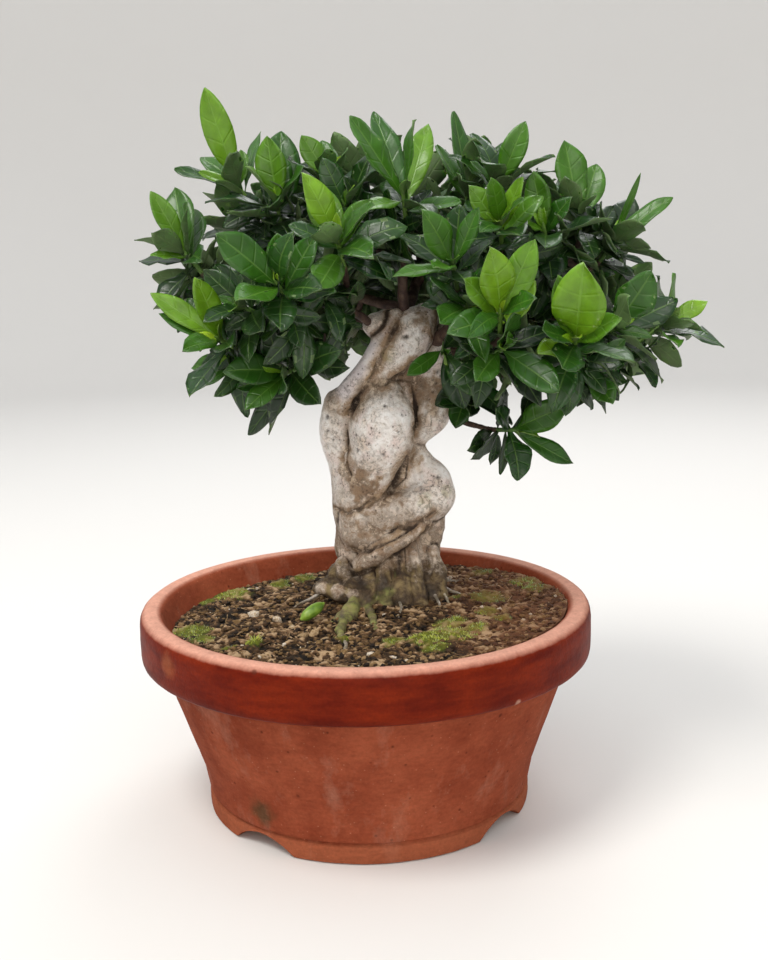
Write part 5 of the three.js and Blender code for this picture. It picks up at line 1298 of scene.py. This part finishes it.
def leafGreen():
    # thick evergreen leaves: a waxy upper skin that mirrors the sky, sunk veins and a dull pale underside
    material, tree, shader = newMaterial("waxyLeaf")
    place = addNode(tree, "TexCoord")
    uv = addNode(tree, "UVMap", uv_map="bladeMap")
    axes = addNode(tree, "SeparateXYZ", {0: uv})
    facts = addNode(tree, "Attribute", attribute_name="leafFacts")
    parts = addNode(tree, "SeparateColor", {0: facts})
    off = addNode(tree, "Math", {0: axes, 1: 0.5}, operation="SUBTRACT")
    away = addNode(tree, "Math", {0: off}, operation="ABSOLUTE")
    midrib = addNode(tree, "MapRange", {"Value": away, "From Min": 0.012, "From Max": 0.04, "To Min": 1.0,
                                        "To Max": 0.0})
    slant = addNode(tree, "Math", {0: away, 1: -2.6}, operation="MULTIPLY")
    run = addNode(tree, "Math", {0: (axes, 1), 1: 9.5, 2: slant}, operation="MULTIPLY_ADD")
    saw = addNode(tree, "Math", {0: run, 1: 1.0}, operation="PINGPONG")
    vein = addNode(tree, "MapRange", {"Value": saw, "From Min": 0.03, "From Max": 0.2, "To Min": 1.0,
                                      "To Max": 0.0})
    fresh = addNode(tree, "ValToRGB", {0: parts},
                    [(0.0, "#0f2409"), (0.25, "#1a3b0d"), (0.5, "#355f12"), (0.75, "#688f16"),
                     (1.0, "#a3bb2a")])
    mottle = addNode(tree, "TexNoise", {"Vector": (place, "Object"), "Scale": cellsOf(7), "Detail": 4.0})
    shade = addNode(tree, "MapRange", {"Value": mottle, "From Min": 0.3, "From Max": 0.7, "To Min": 0.82,
                                       "To Max": 1.2})
    lively = addNode(tree, "Math", {0: (parts, 1), 1: 0.7, 2: 0.62}, operation="MULTIPLY_ADD")
    hue = addNode(tree, "MapRange", {"Value": (parts, 1), "To Min": 0.512, "To Max": 0.492})
    brightness = addNode(tree, "Math", {0: shade, 1: lively}, operation="MULTIPLY")
    varied = addNode(tree, "HueSaturation", {"Color": fresh, "Value": brightness, "Hue": hue})
    veinMask = addNode(tree, "Math", {0: vein, 1: 0.05}, operation="MULTIPLY")
    ribMask = addNode(tree, "Math", {0: midrib, 1: 0.2}, operation="MULTIPLY")
    lines = addNode(tree, "Math", {0: veinMask, 1: ribMask}, operation="MAXIMUM")
    veined = addNode(tree, "Mix", {0: lines, 6: varied, 7: "#84ad4e"}, data_type="RGBA")
    pale = addNode(tree, "Mix", {0: 0.55, 6: (veined, 2), 7: "#74895c"}, data_type="RGBA")
    under = addNode(tree, "Mix", {0: (parts, 2), 6: (veined, 2), 7: (pale, 2)}, data_type="RGBA")
    gloss = addNode(tree, "MapRange", {"Value": mottle, "To Min": 0.24, "To Max": 0.42})
    dull = addNode(tree, "Math", {0: (parts, 2), 1: 0.28, 2: gloss}, operation="MULTIPLY_ADD")
    sunk = addNode(tree, "Math", {0: vein, 1: midrib}, operation="MAXIMUM")
    quilt = addNode(tree, "Math", {0: sunk, 1: -0.6, 2: mottle}, operation="MULTIPLY_ADD")
    relief = addNode(tree, "Bump", {"Height": quilt, "Strength": 0.5, "Distance": 0.0006})
    setInputs(tree, shader, {"Base Color": (under, 2), "Roughness": dull, "Specular IOR Level": 0.4,
                             "Subsurface Weight": 0.08, "Subsurface Radius": (0.4, 1.0, 0.1),
                             "Subsurface Scale": 0.002, "Normal": relief})
    return material


# Young leaves that stand round a shoot's tip and older ones round its stem, besides those of the solid.
growth = dict(tipLeaves=3, tipLength=15, innerLeaves=6, innerSize=0.74, innerReach=9, seed=19)

# Seen from the camera, no extra leaf may stand before this part of the trunk, given as [x, z] where y is
# the depth.
openFront = dict(depth=12, outline=[
    [-23, 223], [-24, 245], [-16, 258], [-8, 265], [-2, 279], [4, 289], [4, 300], [15, 308], [43, 306],
    [53, 296], [55, 280], [55, 256], [46, 244], [30, 237], [43, 228], [56, 202], [56, 177], [48, 144],
    [-16, 139], [-21, 185]])


def hidesTrunk(leaf):
    eye, depth, outline = np.array(cameraLook["place"], float), openFront["depth"], openFront["outline"]
    side = np.cross(leaf["along"], leaf["upward"])
    for t, s in ((0.2, 0), (0.45, 0.5), (0.45, -0.5), (0.8, 0.4), (0.8, -0.4), (1, 0)):
        spot = leaf["base"] + leaf["along"] * leaf["length"] * t + side * leaf["width"] * s
        reach = (depth - eye[1]) / (spot[1] - eye[1])
        x, z = eye[0] + (spot[0] - eye[0]) * reach, eye[2] + (spot[2] - eye[2]) * reach
        inside = False
        for (x0, z0), (x1, z1) in zip(outline, outline[1:] + outline[:1]):
            if (z0 > z) != (z1 > z) and x < x0 + (x1 - x0) * (z - z0) / (z1 - z0):
                inside = not inside
        if inside and reach > 1:
            return True
    return False


def extraLeaves(shoot, f, dice):
    extra = []
    for i in range(growth["tipLeaves"]):
        turn = dice.uniform(0, 2 * math.pi)
        lean = math.radians(dice.uniform(8, 30))
        out = beside(f, 0, turn, 1) - f["start"]
        along = unit(f["axis"] * math.cos(lean) + out * math.sin(lean))
        upward = unit(f["axis"] - along * f["axis"].dot(along) - out * 0.2)
        upward = unit(upward - along * upward.dot(along))
        length = growth["tipLength"] * dice.uniform(0.6, 1.15)
        extra.append((dict(base=beside(f, f["length"] - 1, turn, 0.6), along=along, upward=upward,
                           length=length, width=length * dice.uniform(0.3, 0.42), fold=dice.uniform(0.5, 0.9),
                           bend=0.1, ring=0, shaped=False),
                      min(1, 0.5 + 0.5 * shoot["young"] + dice.uniform(-0.1, 0.15))))
    for i in range(growth["innerLeaves"]):
        turn = dice.uniform(0, 2 * math.pi)
        lean = math.radians(dice.uniform(70, 110))
        out = beside(f, 0, turn, 1) - f["start"]
        along = unit(f["axis"] * math.cos(lean) + out * math.sin(lean))
        upward = unit(f["axis"] - along * f["axis"].dot(along))
        length = shoot["size"] * growth["innerSize"] * dice.uniform(0.8, 1.1)
        leaf = dict(base=beside(f, -growth["innerReach"] * dice.random() + 1.5, turn, 0.7), along=along,
                    upward=upward, length=length, width=length * blade["width"], fold=0.2,
                    bend=dice.uniform(0, 0.2), ring=3, shaped=False)
        if not hidesTrunk(leaf):
            extra.append((leaf, 0.15 * shoot["young"] + dice.uniform(0, 0.12)))
    return extra


def gather(leaves, dice, outline):
    points, faces, uvs, facts = [], [], [], []
    for leaf, age in leaves:
        somePoints, someFaces, uv = bladeMesh(leaf, dice, shapedOutline if leaf["shaped"] else outline)
        shift = len(points)
        points += somePoints
        faces += [tuple(i + shift for i in face) for face in someFaces]
        uvs.append(uv)
        half = len(somePoints) // 2
        tone = dice.random()
        age = min(1, max(0, age))
        facts += [(age, tone, 0, 1)] * half + [(age, tone, 1, 1)] * half
    return points, faces, uvs, facts


def addStem(sprig, greenness, points, faces, uvs, facts):
    stemPoints, stemFaces = tube(sprig, 7)
    shift = len(points)
    points += stemPoints
    faces += [tuple(i + shift for i in face) for face in stemFaces]
    uvs.append(np.tile((0.3, 0.05), (len(stemPoints), 1)))
    facts += [(greenness, 0.5, 0.6, 1)] * len(stemPoints)


def leafyPiece(name, points, faces, uvs, facts):
    piece = newPiece(name, points, faces)
    layer = piece.data.uv_layers.new(name="bladeMap")
    corners = np.zeros(len(piece.data.loops), np.int32)
    piece.data.loops.foreach_get("vertex_index", corners)
    layer.data.foreach_set("uv", np.concatenate(uvs)[corners].astype(np.float32).ravel())
    setFacts(piece, "leafFacts", facts)
    return piece


# narrower blades than the solids have, for the leaves that are rolled lengthwise
rolled = {"left_top": 0.9}
# single leaves that hang out of a shoot, as their tips and widths
loneLeaves = {"front_left_low": [-70.5, -10, 230, 16]}


def makeShoot(name, shoot, index, leafMaterial):
    dice = random.Random(growth["seed"] + index)
    f, leaves = grownLeaves(name, shoot, index)
    ages = []
    for leaf in leaves:
        fresh = 0.3 + 0.6 * shoot["young"] if leaf["shaped"] else 0.1 + 0.45 * shoot["young"]
        ages.append((leaf, fresh - 0.05 * leaf["ring"] + dice.uniform(-0.1, 0.12)))
    if name in rolled:
        leaves[0]["width"] *= rolled[name]
    if name in loneLeaves:
        *tip, width = loneLeaves[name]
        run = np.array(tip, float) - f["start"]
        along = unit(run)
        upward = np.array((0.25, -0.6, 0.75))
        leaf = dict(base=f["start"], along=along, upward=unit(upward - along * upward.dot(along)), fold=0.25,
                    bend=0.08, length=np.linalg.norm(run), width=width, ring=3, shaped=True)
        ages.append((leaf, 0.05))
    points, faces, uvs, facts = gather(ages + extraLeaves(shoot, f, dice), dice, leafOutline)
    # the stem and its end bud as places along the axis with a radius
    stations = [(-1, 1.5), (f["length"] * 0.5, 1.35), (f["length"], 1.25), (f["length"] + 2.5, 0.9),
                (f["length"] + 5, 0.35)]
    sprig = [[*beside(f, height, 0, 0), radius] for height, radius in stations]
    addStem(smoothPath(sprig, 3), 0.5 + 0.3 * shoot["young"], points, faces, uvs, facts)
    piece = leafyPiece(name + "Leaves", points, faces, uvs, facts)
    dress(piece, leafMaterial, ["shoot_" + name])
    return len(leaves)


def twigRoot(limb, start):
    best = None
    for path in limbs[limb]:
        for i in range(1, len(path)):
            for k in range(1, 5):
                a, b = np.array(path[i - 1], float), np.array(path[i], float)
                spot = a + (b - a) * k / 4
                along = unit(b[:3] - a[:3])
                away = start - spot[:3]
                cost = np.linalg.norm(away) - twig["forward"] * unit(away).dot(along)
                cost += 100 if i == 1 and k < 3 else 0  # no twig leaves a limb inside the trunk
                if best is None or cost < best[0]:
                    best = (cost, spot[:3], spot[3])
    return best


def twigPath(shoot):
    start = np.array(shoot["start"], float)
    axis = unit(np.array(shoot["tip"], float) - start)
    root, rootSize = twigRoot(shoot["limb"], start)[1:]
    knee = start - axis * (np.linalg.norm(start - root) * twig["backLean"])
    thick = min(rootSize * 0.8, twig["rootRadius"])
    stations = []
    for i in range(twig["joints"] + 1):
        t = i / twig["joints"]
        place = root * (1 - t) ** 2 + knee * (2 * t * (1 - t)) + start * t * t
        ring = 1 + (twig["jointSwell"] if i % 2 else 0)
        stations.append([*place, (thick + (twig["radius"] - thick) * t) * ring])
    return stations


# Short side sprigs with old leaves in the darkest greens, partly painted shade, which fill the crown's
# inside.
shade = dict(gap=9, twig=(6, 18), leaf=(20, 33), leaves=5, wide=0.42, reach=42, lowest=232, border=14,
             seed=57)


def shadeSprigs(name, dice):
    branches = [smoothPath(path, 6) for path in limbs[name]]
    branches += [np.array(twigPath(shoot)) for shoot in shoots.values() if shoot["limb"] == name]
    starts = np.array([shoot["start"] for shoot in shoots.values()], float)
    low, high = np.array(cadLow) * 1000 + shade["border"], np.array(cadHigh) * 1000 - shade["border"]
    shift = potAxis * 1000
    for path in branches:
        walked = dice.uniform(0, shade["gap"])
        for i in range(max(2, len(path) // 5), len(path)):
            step = path[i, :3] - path[i - 1, :3]
            walked += np.linalg.norm(step)
            if walked < shade["gap"]:
                continue
            walked = 0
            spot, thick = path[i, :3], path[i, 3]
            way = unit(np.array([dice.uniform(-1, 1) for k in range(3)]))
            ahead = unit(step)
            axis = unit(unit(way - ahead * way.dot(ahead)) + np.array((0, 0, 0.3)) + 0.3 * ahead)
            end = spot + axis * (thick * 0.6 + dice.uniform(*shade["twig"]))
            if np.linalg.norm(starts - end, axis=1).min() > shade["reach"] or end[2] < shade["lowest"]:
                continue
            side = unit(np.cross(axis, (0.3, 0.9, 0.2)))
            front = np.cross(axis, side)
            leaves = []
            for k in range(shade["leaves"]):
                turn, lean = 2.4 * k + dice.uniform(-0.4, 0.4), math.radians(dice.uniform(42, 100))
                out = side * math.cos(turn) + front * math.sin(turn)
                along = axis * math.cos(lean) + out * math.sin(lean)
                length = dice.uniform(*shade["leaf"])
                leaf = dict(base=end - axis * dice.uniform(0, 3), along=along, length=length,
                            bend=dice.uniform(0, 0.2), upward=unit(axis - along * axis.dot(along)),
                            width=length * shade["wide"], fold=0.3, ring=3, shaped=False)
                reached = leaf["base"] + along * length + shift
                if (reached > low).all() and (reached < high).all() and not hidesTrunk(leaf):
                    # the darkest greens, partly painted shade inside the crown
                    leaves.append((leaf, dice.uniform(0, 0.16)))
            if leaves:
                yield [[*(spot + axis * thick * 0.3), 1.1], [*end, 0.8]], leaves


def makeShade(name, leafMaterial):
    dice = random.Random(shade["seed"] + len(name))
    sprigs = list(shadeSprigs(name, dice))
    if not sprigs:
        return 0
    points, faces, uvs, facts = gather([leaf for sprig, leaves in sprigs for leaf in leaves], dice,
                                       shadeOutline)
    for sprig, leaves in sprigs:
        addStem(sprig, 0.3, points, faces, uvs, facts)
    dress(leafyPiece(name + "ShadeLeaves", points, faces, uvs, facts), leafMaterial)
    return len(sprigs)


def brownBark():
    # young gardenia wood: thin reddish-brown bark, grey where it weathers and green at its ends
    material, tree, shader = newMaterial("thinBrownBark")
    place = addNode(tree, "TexCoord")
    facts = addNode(tree, "Attribute", attribute_name="barkFacts")
    parts = addNode(tree, "SeparateColor", {0: facts})
    patch = addNode(tree, "TexNoise", {"Vector": (place, "Object"), "Scale": cellsOf(6), "Detail": 6.0,
                                       "Roughness": 0.65})
    skin = addNode(tree, "ValToRGB", {0: patch},
                   [(0.3, "#2b1c15"), (0.48, "#45312a"), (0.62, "#5e4a3d"), (0.8, "#85755f")])
    greenish = addNode(tree, "Mix", {0: (parts, 1), 6: skin, 7: "#5f6d2b"}, data_type="RGBA")
    fine = addNode(tree, "TexNoise", {"Vector": (place, "Object"), "Scale": cellsOf(1.3), "Detail": 4.0})
    rough = addNode(tree, "Bump", {"Height": fine, "Strength": 0.6, "Distance": 0.0005})
    setInputs(tree, shader, {"Base Color": (greenish, 2), "Roughness": 0.7, "Normal": rough})
    return material


# Limbs are a little thinner than their paths say and swell at their joints; sizes in millimetres.
wood = dict(sides=14, twigSides=9, pathSteps=5, thin=0.84, joints=0.05, bumps=0.28, bumpSize=3.5)


def makeLimb(name, material):
    parts, facts = [], []
    for path in limbs[name]:
        s = smoothPath(path, wood["pathSteps"])
        s[:, 3] *= wood["thin"] + wood["joints"] * np.sin(np.arange(len(s)) * 1.9)
        some = tube(s, wood["sides"])
        parts.append(some)
        facts += [(0.2, 0, 0, 1)] * len(some[0])
    for shoot in shoots.values():
        if shoot["limb"] == name:
            some = tube(twigPath(shoot), wood["twigSides"])
            parts.append(some)
            reach = np.linspace(0, 1, len(some[0]))
            facts += [(0.2, float(ease(r, 0.75, 1.0)) * 0.8, 0, 1) for r in reach]
    limb = newPiece(name + "Wood", *joined(parts))
    pushOut(limb, wood["bumps"] * lumps(pointsOf(limb), wood["bumpSize"], 6))
    setFacts(limb, "barkFacts", facts)
    dress(limb, material, [name])


brownMaterial = brownBark()
for limbName in limbs:
    makeLimb(limbName, brownMaterial)
greenMaterial = leafGreen()
found = 0
for index, (name, shoot) in enumerate(shoots.items()):
    found += makeShoot(name, shoot, index, greenMaterial)
print("branches set, leaves found on the solids:", found)
print("inner sprigs:", sum(makeShade(limbName, greenMaterial) for limbName in limbs))


# floor and light

# A round pale floor that curves up into a wall, in metres.
stage = dict(flat=2.4, rise=2.2, curve=0.9, curveSteps=12, sectors=96, colour="#d9d7d4")


def makeFloor():
    outline = [(stage["flat"], 0)]
    for k in range(1, stage["curveSteps"] + 1):
        a = math.radians(90 * k / stage["curveSteps"])
        outline.append((stage["flat"] + stage["curve"] * math.sin(a), stage["curve"] * (1 - math.cos(a))))
    outline.append((stage["flat"] + stage["curve"], stage["rise"]))
    n = stage["sectors"]
    points = [(0, 0, 0)]
    for r, z in outline:
        points += [(r * math.cos(2 * math.pi * k / n), r * math.sin(2 * math.pi * k / n),
                    z) for k in range(n)]
    mesh = bpy.data.meshes.new("floor")
    mesh.from_pydata(points, [], discFaces(len(outline), n))
    mesh.polygons.foreach_set("use_smooth", [True] * len(mesh.polygons))
    # painted board: plain, matt and without grain, so that only the soft shadow shows on it
    material, tree, shader = newMaterial("paleFloor")
    setInputs(tree, shader, {"Base Color": stage["colour"], "Roughness": 0.8})
    mesh.materials.append(material)
    newObject("floor", mesh)


# Three soft round lamps as place and size in metres, power in watts and colour, and a white sky.
lamps = {
    "window": ((-0.8, -0.8, 2.0), 1.0, 34, "#fffcf6"),
    "front": ((0.1, -1.9, 1.0), 1.8, 16, "#fff9f2"),
    "back": ((0.5, 1.3, 1.7), 1.2, 14, "#ffffff"),
}
lampAim = Vector((0, 0, 0.24))
sky = dict(colour="#f1f4f8", strength=0.95)


def addLamp(name, place, size, power, colour):
    data = bpy.data.lights.new(name, "AREA")
    data.shape = "DISK"
    data.size = size
    data.energy = power
    data.color = linear(colour)[:3]
    lamp = newObject(name, data)
    lamp.location = place
    lamp.rotation_euler = (lampAim - Vector(place)).to_track_quat("-Z", "Y").to_euler()


makeFloor()
for name, settings in lamps.items():
    addLamp(name, *settings)
bpy.context.scene.view_settings.view_transform = "Standard"
world = bpy.data.worlds.new("sky")
bpy.context.scene.world = world
world.use_nodes = True
skyNode = world.node_tree.nodes["Background"]
setInputs(world.node_tree, skyNode, {"Color": sky["colour"], "Strength": sky["strength"]})
print("floor and lights set")
